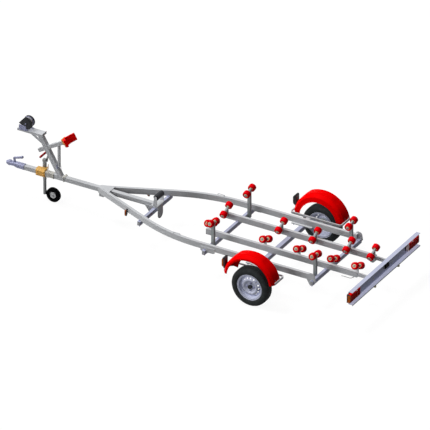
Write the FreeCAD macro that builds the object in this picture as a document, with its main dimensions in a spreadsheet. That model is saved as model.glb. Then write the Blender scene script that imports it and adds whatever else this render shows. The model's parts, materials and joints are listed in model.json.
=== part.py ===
import FreeCAD, Part
import math
import os
import re

import Sketcher
from FreeCAD import Placement, Rotation, Vector

# A single-axle roller trailer for a small motor boat, in millimetres.
# +X points to the coupling, +Y to the left and +Z up; the origin is on the ground under the middle.

doc = FreeCAD.newDocument("BoatTrailer")
sheet = doc.addObject("Spreadsheet::Sheet", "Sizes")

SIZES = (
    # alias, value, what it measures (millimetres, or degrees where it says so)
    ("half_length", 2850, "half of the overall length"),
    ("axle_x", -1378, "wheel centres"),
    ("tyre_diameter", 547, "155/70 tyre on a 13 inch rim"),
    ("tyre_width", 152, "section width of the tyre"),
    ("wheel_face", 1003, "outer face of a tyre, from the middle"),
    ("rim_flange", 183, "radius of the rim's flange"),
    ("bead_seat", 165.1, "radius of the bead seat"),
    ("rim_well", 150, "radius of the drop centre"),
    ("rim_width", 114, "between the rim's flanges"),
    ("rim_sheet", 4, "thickness of the wheel's steel"),
    ("wheel_offset", 30, "hub face, outboard of the wheel's middle plane"),
    ("wheel_bore", 29, "radius of the wheel's centre hole"),
    ("vent_radius", 8.5, "radius of a vent hole in the wheel's disc"),
    ("vent_circle", 116, "radius of the circle of vent holes"),
    ("vent_count", 16, "vent holes in a wheel"),
    ("lug_circle", 50, "radius of the circle of wheel bolts"),
    ("rail_height", 80, "side and keel rails"),
    ("rail_width", 40, "side and keel rails"),
    ("rail_wall", 3, "wall of the rails"),
    ("rail_top", 480, "top of the rails"),
    ("side_rail_y", 596, "middle of a side rail, where the rails run parallel"),
    ("side_rail_rear", -2080, "rear end of the side rails"),
    ("bend_start", -390, "where the side rails start to bend in"),
    ("bend_radius", 2280, "radius of the side rails' bend"),
    ("bend_angle", 23.3, "degrees that the side rails turn in by"),
    ("keel_rail_y", 244, "middle of a keel rail"),
    ("keel_rail_front", -310, "front end of the keel rails"),
    ("keel_rail_rear", -2560, "rear end of the keel rails"),
    ("drawbar_size", 60, "square tube of the drawbar"),
    ("drawbar_wall", 4, "wall of the drawbar"),
    ("drawbar_z", 445, "middle height of the drawbar"),
    ("drawbar_rear", 570, "rear end of the drawbar"),
    ("drawbar_front", 2620, "front end of the drawbar"),
    ("cross_height", 60, "crossmembers, which lie under the rails"),
    ("cross_width", 40, "crossmembers"),
    ("cross_wall", 3, "wall of the crossmembers"),
    ("front_cross_x", 605, "middle of the front crossmember"),
    ("front_cross_half", 425, "half length of the front crossmember"),
    ("middle_cross_x", -500, "middle of the middle crossmember"),
    ("middle_cross_half", 660, "half length of the middle crossmember"),
    ("rear_cross_x", -2100, "middle of the rear crossmember"),
    ("rear_cross_half", 640, "half length of the rear crossmember"),
    ("beam_x", -1272, "middle of the axle beam"),
    ("beam_z", 358, "middle height of the axle beam"),
    ("beam_size", 60, "square tube of the axle beam"),
    ("beam_half", 690, "half length of the axle beam's tube"),
    ("arm_width", 26, "thickness of a trailing arm"),
    ("arm_radius", 30, "radius of a trailing arm's ends"),
    ("stub_radius", 17, "radius of a stub axle"),
    ("hub_radius", 62, "radius of a wheel hub"),
    ("guard_x", -1375, "middle of a mudguard"),
    ("guard_z", 360, "centre height of a mudguard's arc"),
    ("guard_crown", 375, "radius of a mudguard's crown"),
    ("guard_edge", 345, "radius of a mudguard's two edges"),
    ("outer_skirt", 319, "radius where the outer skirt ends"),
    ("inner_skirt", 277, "radius where the inner skirt ends"),
    ("guard_sweep", 165, "degrees that a mudguard covers"),
    ("panel_sweep", 30, "degrees of the raised panel on a mudguard's top"),
    ("guard_inner", 800, "inner edge of a mudguard, from the middle"),
    ("guard_outer", 1025, "outer edge of a mudguard, from the middle"),
    ("guard_slope", 45, "width of the sloping edges of a mudguard"),
    ("guard_sheet", 3, "thickness of a mudguard"),
    ("guard_bar_x", 381.4, "outer faces of a mudguard's bar, before and behind its middle"),
    ("guard_bar_z", 440, "top of a mudguard's bar"),
    ("guard_bar_y", 738, "inner face of a mudguard's bar, from the middle"),
    ("guard_bar_end", 980, "outer ends of a mudguard's bar"),
    ("guard_bar_turn", 36, "outer radius of the bends of a mudguard's bar"),
    ("angle_high", 30, "upright leg of a mudguard's angle bar"),
    ("angle_wide", 14, "level leg of a mudguard's angle bar"),
    ("angle_sheet", 4, "thickness of a mudguard's angle bar"),
    ("roller_radius", 50, "boat roller"),
    ("roller_width", 70, "boat roller"),
    ("roller_hub", 27, "radius of a boat roller's sunk hub"),
    ("hub_depth", 7, "how far a roller's hub is sunk"),
    ("keel_gap", 170, "middle to middle of the two rollers of a pair on a keel rail"),
    ("post_gap", 145, "middle to middle of the two rollers of a pair on a tall post"),
    ("boss_radius", 19, "boss between the two rollers of a pair"),
    ("boss_half", 32, "half length of that boss"),
    ("roller_axle", 10, "radius of a roller's axle"),
    ("running_gap", 0.05, "radial play of a running bore"),
    ("pair_y", 200, "middle of a pair of rollers on a keel rail"),
    ("pair_z", 541, "height of a pair's middle on a keel rail"),
    ("pair_tilt", 25, "degrees that a pair on a keel rail leans, outer end up"),
    ("post_y", 470, "middle of a tall roller post"),
    ("post_low", 350, "foot of a tall roller post"),
    ("post_size", 40, "square tube of a tall roller post"),
    ("post_tilt", 13, "degrees that a pair on a tall post leans"),
    ("keel_roller_x", 545, "black keel roller"),
    ("keel_roller_z", 600, "black keel roller"),
    ("keel_roller_radius", 39, "black keel roller"),
    ("keel_roller_half", 80, "half length of the black keel roller"),
    ("stem_width", 40, "flat bar that carries a pair on a keel rail"),
    ("end_stem_width", 92, "flat bar that carries the rearmost pair"),
    ("stem_sheet", 12, "thickness of those flat bars"),
    ("stem_foot", 435, "height where a stem's round foot starts"),
    ("end_stem_foot", 418, "height where the wide stem's round foot starts"),
    ("jockey_x", 2314, "middle of the jockey wheel's tube"),
    ("jockey_y", -75, "middle of the jockey wheel's tube"),
    ("jockey_tube", 24, "outer radius of the jockey wheel's outer tube"),
    ("jockey_wall", 2.5, "wall of the outer tube"),
    ("jockey_low", 300, "lower end of the outer tube"),
    ("jockey_high", 547, "upper end of the outer tube"),
    ("jockey_trail", 132, "wheel axle, behind the tube"),
    ("jockey_wheel_radius", 102, "jockey wheel"),
    ("jockey_wheel_width", 50, "jockey wheel"),
    ("jockey_pin", 8, "radius of the jockey wheel's axle"),
    ("fork_low", 80, "foot of the jockey wheel's one-armed fork"),
    ("clamp_x", 2317, "middle of the jockey wheel's clamp"),
    ("clamp_length", 134, "length of the jockey wheel's clamp"),
    ("clamp_half", 42, "half width of the jockey wheel's clamp"),
    ("grip_x", 2295, "crank grip"),
    ("grip_z", 706, "crank grip"),
    ("grip_radius", 12, "crank grip"),
    ("post_foot_x", 2030, "foot of the winch post"),
    ("post_head_x", 2330, "head of the winch post"),
    ("post_head_z", 1005, "head of the winch post"),
    ("winch_x", 2510, "middle of the winch drum"),
    ("winch_z", 1142, "middle of the winch drum"),
    ("winch_y", 15.5, "middle of the winch drum"),
    ("winch_shaft", 9, "radius of the winch shaft"),
    ("drum_radius", 74, "flanges of the winch drum"),
    ("drum_half", 27.5, "half width of the winch drum, over its flanges"),
    ("drum_sheet", 4, "thickness of the drum's flanges"),
    ("core_radius", 26, "core of the winch drum"),
    ("strap_radius", 68, "strap wound on the drum"),
    ("cheek_half", 34.5, "middle of a winch cheek, from the drum's middle"),
    ("cover_radius", 88, "round part of the winch's near cover"),
    ("cover_sheet", 14, "thickness of a winch cover"),
    ("stop_x", 1953.5, "front of the bow stop"),
    ("stop_z", 1001, "front of the bow stop"),
    ("stop_lean", 30.6, "degrees that the bow stop leans back"),
    ("stop_height", 100, "height of the bow stop"),
    ("board_half", 891, "half width of the light board"),
    ("board_low", 388, "bottom of the light board"),
    ("board_high", 571, "top of the light board"),
    ("board_depth", 60, "depth of the light board's channel"),
    ("board_sheet", 3, "thickness of the light board"),
    ("lamp_middle", 770, "middle of a tail lamp, from the middle between both"),
    ("lamp_shift", 35, "how far the tail lamps sit to the left"),
    ("lamp_length", 272, "tail lamp"),
    ("amber_length", 68, "outer, amber part of a tail lamp"),
    ("position_y", 930, "front position lamps"),
    ("marker_x", 862, "side marker lamps on the outer faces of the side rails"),
    ("marker_y", 287, "inner faces of the side marker lamps' brackets"),
    ("eye_rear", -105, "rear leg of a tie-down eye"),
    ("eye_front", -5, "front leg of a tie-down eye"),
    ("eye_y", 577, "tie-down eyes"),
    ("eye_rod", 4.5, "radius of a tie-down eye's rod"),
)
ALIASES = {alias for alias, _, _ in SIZES}

for number, (alias, amount, meaning) in enumerate(SIZES, start=1):
    sheet.set(f"A{number}", meaning)
    sheet.set(f"B{number}", str(amount))
    sheet.setAlias(f"B{number}", alias)
doc.recompute()


# ---------------------------------------------------------------- shared ways of making a piece

NORMAL_SIGN = {"XY_Plane": 1, "XZ_Plane": -1, "YZ_Plane": 1}
SIDES = (("left", 1), ("right", -1))


def bound(text):
    """Return the expression with every size in it read from the sheet."""
    return re.sub(r"[a-z_]+", lambda word: "Sizes." * (word[0] in ALIASES) + word[0], str(text))


def size(text):
    """Return the number that an expression on the sheet's sizes gives."""
    return float(sheet.evalExpression(bound(text)))


def new_body(name):
    """Start a sub-part; its solids may stand apart where like pieces share one node."""
    body = doc.addObject("PartDesign::Body", name)
    body.Label = name
    body.AllowCompound = True
    return body


def place(item, x="0", y="0", z="0", axis=None, angle="0"):
    """Put a sub-part at a point, turned by an angle about an axis."""
    if axis:
        item.Placement = Placement(Vector(0, 0, 0), Rotation(Vector(*axis), 1))
        item.setExpression("Placement.Rotation.Angle", bound(angle))
    for letter, text in zip("xyz", (x, y, z)):
        item.setExpression("Placement.Base." + letter, bound(text))
    return item


def sketch_on(body, role, offset="0"):
    """Add a sketch on one of the body's own planes, moved along that plane's positive axis."""
    plane = next(part for part in body.Origin.OriginFeatures if part.Role == role)
    sketch = body.newObject("Sketcher::SketchObject", body.Name + "_sketch")
    sketch.AttachmentSupport = [(plane, "")]
    sketch.MapMode = "FlatFace"
    if offset != "0":
        sketch.setExpression("AttachmentOffset.Base.z", f"{NORMAL_SIGN[role]} * ({bound(offset)})")
    return sketch


def fix_point(sketch, edge, end, x, y):
    """Hold one end of an edge at a point whose two coordinates are expressions."""
    for kind, text, line in (("DistanceX", x, -2), ("DistanceY", y, -1)):
        if abs(size(text)) < 1e-9:
            sketch.addConstraint(Sketcher.Constraint("PointOnObject", edge, end, line))
            continue
        rule = sketch.addConstraint(Sketcher.Constraint(kind, -1, 1, edge, end, size(text)))
        sketch.setExpression(f"Constraints[{rule}]", bound(text))


def arc_between(start, end, radius):
    """Return an arc from start to end; a positive radius turns left, a negative one right."""
    chord = end - start
    reach = math.sqrt(max(radius ** 2 - (chord.Length / 2) ** 2, 0))
    sag = (abs(radius) - reach) * math.copysign(1, radius)
    side = Vector(chord.y, -chord.x, 0).normalize()
    return Part.Arc(start, (start + end) * 0.5 + side * sag, end)


def draw(sketch, corners, closed=True):
    """Draw edges through corners; a row is (x, y), or (x, y, radius) where an arc leaves it."""
    points = [Vector(size(row[0]), size(row[1]), 0) for row in corners]
    count = len(corners) if closed else len(corners) - 1
    ends = []
    for step in range(count):
        start, end = points[step], points[(step + 1) % len(points)]
        row = corners[step]
        bend = size(row[2]) if len(row) > 2 else 0
        shape = arc_between(start, end, bend) if bend else Part.LineSegment(start, end)
        edge = sketch.addGeometry(shape, False)
        first, last = (2, 1) if bend < 0 else (1, 2)
        fix_point(sketch, edge, first, row[0], row[1])
        if bend:
            rule = sketch.addConstraint(Sketcher.Constraint("Radius", edge, abs(bend)))
            sketch.setExpression(f"Constraints[{rule}]", f"abs({bound(row[2])})")
        ends.append((edge, first, last))
    for step, (edge, _, last) in enumerate(ends):
        if closed or step + 1 < count:
            after = ends[(step + 1) % count]
            sketch.addConstraint(Sketcher.Constraint("Coincident", edge, last, after[0], after[1]))
        else:
            fix_point(sketch, edge, last, corners[-1][0], corners[-1][1])


def draw_circle(sketch, x, y, radius):
    """Draw a circle whose centre and radius are expressions."""
    edge = sketch.addGeometry(Part.Circle(Vector(size(x), size(y), 0), Vector(0, 0, 1), size(radius)))
    fix_point(sketch, edge, 3, x, y)
    rule = sketch.addConstraint(Sketcher.Constraint("Radius", edge, size(radius)))
    sketch.setExpression(f"Constraints[{rule}]", bound(radius))


def box(x0, x1, y0, y1):
    """Return the corners of a rectangle."""
    return ((x0, y0), (x1, y0), (x1, y1), (x0, y1))


def around(width, height):
    """Return the corners of a rectangle about the origin."""
    return box(f"-({width}) / 2", f"({width}) / 2", f"-({height}) / 2", f"({height}) / 2")


def extrude(body, role, loops, depth, offset="0", cut=False):
    """Add or cut the area inside the loops, half of the depth to each side of its plane."""
    sketch = sketch_on(body, role, offset)
    for loop in loops:
        if loop[0] == "circle":
            draw_circle(sketch, *loop[1:])
        else:
            draw(sketch, loop)
    feature = body.newObject("PartDesign::Pocket" if cut else "PartDesign::Pad", body.Name + "_feature")
    feature.Profile = sketch
    feature.SideType = "Symmetric"
    feature.setExpression("Length", bound(depth))
    body.Tip = feature
    return feature


def revolve(body, loops, sweep="360"):
    """Add the loops turned about the body's X axis, evenly to both sides of the sketch."""
    sketch = sketch_on(body, "XY_Plane")
    for loop in loops:
        draw(sketch, loop)
    feature = body.newObject("PartDesign::Revolution", body.Name + "_turned")
    feature.Profile = sketch
    feature.ReferenceAxis = (sketch, ["H_Axis"])
    feature.Midplane = True
    feature.setExpression("Angle", bound(sweep))
    body.Tip = feature
    return feature


def repeat_round(body, feature, count):
    """Repeat a feature evenly about the body's X axis."""
    axis = next(part for part in body.Origin.OriginFeatures if part.Role == "X_Axis")
    pattern = body.newObject("PartDesign::PolarPattern", body.Name + "_pattern")
    pattern.Originals = [feature]
    pattern.Axis = (axis, [""])
    pattern.Angle = 360
    pattern.setExpression("Occurrences", bound(count))
    body.Tip = pattern
    return pattern


# Bodies turned about the wheel axles: the body's own X axis points outboard and its Y axis up.
AXLE_TURN = {1: Rotation(Vector(0, 1, 0), Vector(0, 0, 1), Vector(1, 0, 0)),
             -1: Rotation(Vector(0, -1, 0), Vector(0, 0, 1), Vector(-1, 0, 0))}


def place_on_axle(item, side, x, y, z, tilt="0"):
    """Put a turned body on an axle across the trailer, its outboard end raised by the tilt."""
    turn = Rotation(Vector(1, 0, 0), side * size(tilt)).multiply(AXLE_TURN[side])
    item.Placement = Placement(Vector(0, 0, 0), turn)
    for letter, text in zip("xyz", (x, f"{side} * ({y})", z)):
        item.setExpression("Placement.Base." + letter, bound(text))
    return item


# ---------------------------------------------------------------- frame

def make_straight_tube(name, width, height, wall, length, x, y, z):
    """Make a rectangular tube along X that starts at x."""
    body = new_body(name)
    inner = around(f"{width} - 2 * {wall}", f"{height} - 2 * {wall}")
    extrude(body, "YZ_Plane", (around(width, height), inner), length, offset=f"({length}) / 2")
    return place(body, x, y, z)


def make_side_rail(name, side):
    """Make a side rail: straight beside the wheels, then bent in to the drawbar."""
    body = new_body(name)
    straight = "bend_start - side_rail_rear"
    bent_x = f"{straight} + bend_radius * sin(bend_angle)"
    bent_y = "bend_radius * (1 - cos(bend_angle))"
    reach = f"(side_rail_y - {bent_y}) / tan(bend_angle)"
    profile = sketch_on(body, "YZ_Plane")
    draw(profile, around("rail_width", "rail_height"))
    draw(profile, around("rail_width - 2 * rail_wall", "rail_height - 2 * rail_wall"))
    spine = sketch_on(body, "XY_Plane")
    draw(spine, (("0", "0"),
                 (straight, "0", f"{-side} * bend_radius"),
                 (bent_x, f"{-side} * {bent_y}"),
                 (f"{bent_x} + {reach}", f"{-side} * side_rail_y")), closed=False)
    pipe = body.newObject("PartDesign::AdditivePipe", body.Name + "_pipe")
    pipe.Profile = profile
    pipe.Spine = spine
    body.Tip = pipe
    doc.recompute()
    mitre = box(bent_x, f"{bent_x} + 2 * {reach}",
                f"{side} * (drawbar_size / 2 - side_rail_y)", f"{-side} * 2 * side_rail_y")
    extrude(body, "XY_Plane", (mitre,), "2 * rail_height", cut=True)
    return place(body, "side_rail_rear", f"{side} * side_rail_y", "rail_top - rail_height / 2")


def make_crossmember(name, x, half):
    """Make a rectangular tube across the trailer, right under the rails."""
    body = new_body(name)
    inner = around("cross_width - 2 * cross_wall", "cross_height - 2 * cross_wall")
    extrude(body, "XZ_Plane", (around("cross_width", "cross_height"), inner), f"2 * {half}")
    return place(body, x, "0", "rail_top - rail_height - cross_height / 2")


def capsule(x0, y0, x1, y1, radius):
    """Return a bar with round ends from one point to another."""
    dx, dy = size(x1) - size(x0), size(y1) - size(y0)
    along = math.hypot(dx, dy)
    side_x, side_y = f"({radius}) * {dy / along}", f"({radius}) * {-dx / along}"
    return ((f"{x0} + {side_x}", f"{y0} + {side_y}"),
            (f"{x1} + {side_x}", f"{y1} + {side_y}", f"1.0001 * ({radius})"),
            (f"{x1} - {side_x}", f"{y1} - {side_y}"),
            (f"{x0} - {side_x}", f"{y0} - {side_y}", f"1.0001 * ({radius})"))


def make_axle_beam():
    """Make the torsion axle: a beam under the rails, trailing arms and stub axles."""
    body = new_body("axle_beam")
    inner = around("beam_size - 2 * drawbar_wall", "beam_size - 2 * drawbar_wall")
    extrude(body, "XZ_Plane", (around("beam_size", "beam_size"), inner), "2 * beam_half")
    arm = capsule("0", "0", "axle_x - beam_x", "tyre_diameter / 2 - beam_z", "arm_radius")
    for _, side in SIDES:
        extrude(body, "XZ_Plane", (arm,), "arm_width", offset=f"{side} * (beam_half + arm_width / 2)")
        stub = ("circle", "axle_x - beam_x", "tyre_diameter / 2 - beam_z", "stub_radius")
        reach = "wheel_face - tyre_width / 2 + wheel_offset - beam_half - arm_width"
        middle = f"{side} * (beam_half + arm_width + ({reach}) / 2)"
        extrude(body, "XZ_Plane", (stub,), reach, offset=middle)
    return place(body, "beam_x", "0", "beam_z")


def make_frame_junction():
    """Make what clamps the side rails' front ends to the drawbar: two plates and a strap below."""
    body = new_body("frame_junction")
    plate = (("-90", "-84"), ("90", "-36"), ("90", "36"), ("-90", "84"))
    extrude(body, "XY_Plane", (plate,), "6", offset="rail_top + 3")
    extrude(body, "XY_Plane", (plate,), "6", offset="rail_top - rail_height - 3")
    strap = (("-36", "394"), ("-36", "356"), ("-26", "346"), ("26", "346"), ("36", "356"), ("36", "394"),
             ("31", "394"), ("31", "358"), ("24", "351"), ("-24", "351"), ("-31", "358"), ("-31", "394"))
    extrude(body, "YZ_Plane", (strap,), "60", offset="58")
    return place(body, "1340")


def make_frame():
    """Make the tubes of the frame and what joins them."""
    pieces = [make_straight_tube("drawbar", "drawbar_size", "drawbar_size", "drawbar_wall",
                                 "drawbar_front - drawbar_rear", "drawbar_rear", "0", "drawbar_z")]
    for word, side in SIDES:
        pieces.append(make_side_rail("side_rail_" + word, side))
        pieces.append(make_straight_tube("keel_rail_" + word, "rail_width", "rail_height", "rail_wall",
                                         "keel_rail_front - keel_rail_rear", "keel_rail_rear",
                                         f"{side} * keel_rail_y", "rail_top - rail_height / 2"))
    for word in ("front", "middle", "rear"):
        pieces.append(make_crossmember("crossmember_" + word, word + "_cross_x", word + "_cross_half"))
    pieces.append(make_axle_beam())
    pieces.append(make_frame_junction())
    return pieces


# ---------------------------------------------------------------- wheels

def make_tyre(name, side):
    """Make a tyre, closed at its bead where the rim carries it."""
    body = new_body(name)
    bead, tread, wall = "rim_width / 2 - 0.3", "tyre_width * 0.39", "rim_width / 2 + 9.5"
    outer, shoulder = "tyre_diameter / 2", "tyre_diameter / 2 - 8"
    revolve(body, (((f"-({bead})", "bead_seat"),
                    (bead, "bead_seat"),
                    (bead, "rim_flange + 1"),
                    (wall, "rim_flange + 7", "62"),
                    (tread, shoulder, "20"),
                    (f"{tread} - 12", outer),
                    (f"-{tread} + 12", outer, "20"),
                    (f"-{tread}", shoulder, "62"),
                    (f"-({wall})", "rim_flange + 7"),
                    (f"-({bead})", "rim_flange + 1")),))
    return place_on_axle(body, side, "axle_x", "wheel_face - tyre_width / 2", "tyre_diameter / 2")


def make_rim(name, side):
    """Make a pressed steel wheel with its hub: barrel, vented disc, lug bolts and hub."""
    body = new_body(name)
    half, seat, well = "rim_width / 2", "bead_seat - 0.2", "rim_well"
    under, low = f"{seat} - rim_sheet", f"{well} - rim_sheet"
    barrel = ((f"-{half}", "rim_flange"), (f"-{half}", seat), (f"-{half} + 22", seat),
              (f"-{half} + 32", well), ("20", well), ("32", seat), (half, seat), (half, "rim_flange"),
              (f"{half} + 8", "rim_flange - 3"), (f"{half} + 4", under), ("34", under), ("22", low),
              (f"-{half} + 30", low), (f"-{half} + 20", under), (f"-{half} - 4", under),
              (f"-{half} - 8", "rim_flange - 3"))
    face, rise = "wheel_offset", "wheel_offset + 14"
    disc = ((face, "wheel_bore"), (f"{face} + rim_sheet", "wheel_bore"), (f"{face} + rim_sheet", "64"),
            (f"{rise} + rim_sheet", "88"), (f"{rise} + rim_sheet - 6", "128"), ("24", low), ("18", low),
            (f"{rise} - 7", "126"), (rise, "88"), (face, "66"))
    revolve(body, (barrel,))
    revolve(body, (disc,))
    vent = extrude(body, "YZ_Plane", (("circle", "vent_circle", "0", "vent_radius"),), "60",
                   offset="wheel_offset + 15", cut=True)
    repeat_round(body, vent, "vent_count")
    hub = (("-60", "stub_radius + running_gap"), ("wheel_offset + 26", "stub_radius + running_gap"),
           ("wheel_offset + 26", "26"), ("wheel_offset", "26"), ("wheel_offset", "hub_radius"),
           ("wheel_offset - 14", "hub_radius"), ("wheel_offset - 22", "40"), ("-60", "36"))
    revolve(body, (hub,))
    lug = extrude(body, "YZ_Plane", (("circle", "lug_circle", "0", "8.5"),), "16",
                  offset="wheel_offset + 8")
    repeat_round(body, lug, "4")
    return place_on_axle(body, side, "axle_x", "wheel_face - tyre_width / 2", "tyre_diameter / 2")


def make_wheels():
    """Make both wheels."""
    pieces = []
    for word, side in SIDES:
        pieces.append(make_tyre("tyre_" + word, side))
        pieces.append(make_rim("rim_" + word, side))
    return pieces


# ---------------------------------------------------------------- mudguards

def inset(outline, steps):
    """Return an outline's corners moved in by their steps, in the opposite order."""
    moved = [(f"({x}) + ({dx})", f"({y}) - ({dy})") for (x, y), (dx, dy) in zip(outline, steps)]
    return tuple(reversed(moved))


def make_mudguard(name, side):
    """Make an open mudguard: a crown with sloping edges, a deep inner skirt and a raised top panel."""
    body = new_body(name)
    width, thick = "guard_outer - guard_inner", "guard_sheet"
    outside = (("0", "inner_skirt"), ("0", "guard_edge"), ("guard_slope", "guard_crown"),
               (f"{width} - guard_slope", "guard_crown"), (width, "guard_edge"), (width, "outer_skirt"))
    steps = ((thick, "0"), (thick, "0.5 * guard_sheet"), (f"0.3 * {thick}", thick),
             (f"-0.3 * {thick}", thick), (f"-{thick}", "0.5 * guard_sheet"), (f"-{thick}", "0"))
    revolve(body, (outside + inset(outside, steps),), sweep="guard_sweep")
    panel = (("guard_slope + 20", "guard_crown - 1"), (f"{width} - guard_slope - 20", "guard_crown - 1"),
             (f"{width} - guard_slope - 28", "guard_crown + 6"), ("guard_slope + 28", "guard_crown + 6"))
    revolve(body, (panel,), sweep="panel_sweep")
    return place_on_axle(body, side, "guard_x", "guard_inner", "guard_z")


def hoop(side, wide):
    """Return a strip bent to three sides of a rectangle round a mudguard, its outside at the bar's."""
    rear, front, turn = "guard_x - guard_bar_x", "guard_x + guard_bar_x", "guard_bar_turn"
    bend, inner_bend = f"{side} * {turn}", f"{-side} * ({turn} - {wide})"
    rows = ((rear, "guard_bar_end"), (rear, f"guard_bar_y + {turn}", bend),
            (f"{rear} + {turn}", "guard_bar_y"), (f"{front} - {turn}", "guard_bar_y", bend),
            (front, f"guard_bar_y + {turn}"), (front, "guard_bar_end"),
            (f"{front} - {wide}", "guard_bar_end"),
            (f"{front} - {wide}", f"guard_bar_y + {turn}", inner_bend),
            (f"{front} - {turn}", f"guard_bar_y + {wide}"),
            (f"{rear} + {turn}", f"guard_bar_y + {wide}", inner_bend),
            (f"{rear} + {wide}", f"guard_bar_y + {turn}"), (f"{rear} + {wide}", "guard_bar_end"))
    return tuple((x, f"{side} * ({y})", *arc) for x, y, *arc in rows)


def make_mudguard_brackets():
    """Make the angle bar bent round the inner side of each mudguard and its carrier on the rail."""
    body = new_body("mudguard_brackets")
    rail_face = "side_rail_y + rail_width / 2"
    for _, side in SIDES:
        extrude(body, "XY_Plane", (hoop(side, "angle_sheet"),), "angle_high",
                offset="guard_bar_z - angle_high / 2")
        extrude(body, "XY_Plane", (hoop(side, "angle_wide"),), "angle_sheet",
                offset="guard_bar_z - angle_sheet / 2")
        carrier = box("beam_x - beam_size / 2", "beam_x + beam_size / 2", "guard_bar_z - angle_high",
                      "guard_bar_z - angle_high + 2 * angle_sheet")
        reach = f"guard_bar_y + angle_sheet - ({rail_face})"
        extrude(body, "XZ_Plane", (carrier,), reach, offset=f"{side} * ({rail_face} + ({reach}) / 2)")
    return place(body)


# ---------------------------------------------------------------- boat rollers

PAIRS = (
    # name, x, y, z, tilt, middle to middle of the two rollers
    ("keel_1", "-350", "pair_y", "pair_z", "pair_tilt", "keel_gap"),
    ("keel_2", "-1170", "pair_y", "pair_z", "pair_tilt", "keel_gap"),
    ("keel_3", "-1675", "pair_y", "pair_z", "pair_tilt", "keel_gap"),
    ("keel_4", "-2180", "pair_y", "pair_z", "pair_tilt", "keel_gap"),
    ("keel_5", "-2540", "pair_y", "pair_z", "pair_tilt", "keel_gap"),
    ("post_front", "-540", "post_y", "743", "post_tilt", "post_gap"),
    ("post_rear", "-2060", "post_y", "695", "post_tilt", "post_gap"),
)


def make_roller_pair(name, side, x, y, z, tilt, gap):
    """Make the two rollers of a pair, which turn on one axle; each end has a sunk hub."""
    body = new_body(name)
    bore, half, deep = "roller_axle + running_gap", "roller_width / 2", "roller_width / 2 - hub_depth"
    loops = []
    for middle in (f"-{gap} / 2", f"{gap} / 2"):
        loops.append(((f"{middle} - ({deep})", bore), (f"{middle} - ({deep})", "roller_hub"),
                      (f"{middle} - {half}", "roller_hub + 3"), (f"{middle} - {half}", "roller_radius - 9"),
                      (f"{middle} - {half} + 9", "roller_radius - 1"), (middle, "roller_radius"),
                      (f"{middle} + {half} - 9", "roller_radius - 1"),
                      (f"{middle} + {half}", "roller_radius - 9"), (f"{middle} + {half}", "roller_hub + 3"),
                      (f"{middle} + {deep}", "roller_hub"), (f"{middle} + {deep}", bore)))
    revolve(body, loops)
    return place_on_axle(body, side, x, y, z, tilt)


def make_pair_axle(group, side, x, y, z, tilt, gap):
    """Make the leaning axle of a pair and the boss round its middle."""
    lean = math.radians(size(tilt))
    along = Vector(0, side * math.cos(lean), math.sin(lean))
    middle = Vector(size(x), side * size(y), size(z))
    for radius, half in (("roller_axle", f"({gap} + roller_width) / 2 + 6"), ("boss_radius", "boss_half")):
        rod = doc.addObject("Part::Cylinder", group + "_axle")
        rod.setExpression("Radius", bound(radius))
        rod.setExpression("Height", bound(f"2 * ({half})"))
        rod.Placement = Placement(middle - along * size(half), Rotation(Vector(0, 0, 1), along))
        yield rod


def make_stem(name, side, x, z):
    """Make the flat bar, round at its foot, that carries a pair on the inner face of a keel rail."""
    stem = new_body("stem_" + name)
    wide, foot = ("end_stem_width", "end_stem_foot") if name == "keel_5" else ("stem_width", "stem_foot")
    rear, front = f"{x} - stem_width / 2", f"{x} + stem_width / 2"
    outline = ((rear, foot, f"{wide} / 2 + 0.01"), (f"{rear} + {wide}", foot),
               (f"{rear} + {wide}", "rail_top"), (front, "rail_top + 35"), (front, z), (rear, z))
    extrude(stem, "XZ_Plane", (outline,), "stem_sheet",
            offset=f"{side} * (keel_rail_y - rail_width / 2 - stem_sheet / 2)")
    return stem


def make_post(side, x, y, z):
    """Make a tall post: an upright square tube that stands behind a crossmember."""
    post = new_body("post")
    inner = around("post_size - 2 * rail_wall", "post_size - 2 * rail_wall")
    extrude(post, "XY_Plane", (around("post_size", "post_size"), inner), f"{z} - post_low",
            offset=f"({z} - post_low) / 2")
    return place(post, x, f"{side} * ({y})", "post_low")


def make_holders():
    """Make the stems on the keel rails and the tall posts, each with its leaning axle."""
    groups = {"roller_stems": [], "tall_posts": []}
    for name, *where in PAIRS:
        x, y, z = where[:3]
        group = "tall_posts" if name.startswith("post") else "roller_stems"
        for _, side in SIDES:
            upright = make_post(side, x, y, z) if group == "tall_posts" else make_stem(name, side, x, z)
            solid = doc.addObject("Part::MultiFuse", group + "_solid")
            solid.Shapes = [upright] + list(make_pair_axle(group, side, *where))
            groups[group].append(solid)
    pieces = []
    for group, solids in groups.items():
        piece = doc.addObject("Part::Compound", group)
        piece.Label = group
        piece.Links = solids
        pieces.append(piece)
    return pieces


def make_keel_roller():
    """Make the black roller behind the drawbar."""
    body = new_body("keel_roller")
    bore, half, edge = "roller_axle + running_gap", "keel_roller_half", "keel_roller_radius"
    revolve(body, (((f"-{half}", bore), (f"-{half}", f"{edge} - 5"), (f"-{half} + 5", edge),
                    (f"{half} - 5", edge), (half, f"{edge} - 5"), (half, bore)),))
    return place_on_axle(body, 1, "keel_roller_x", "0", "keel_roller_z")


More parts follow.
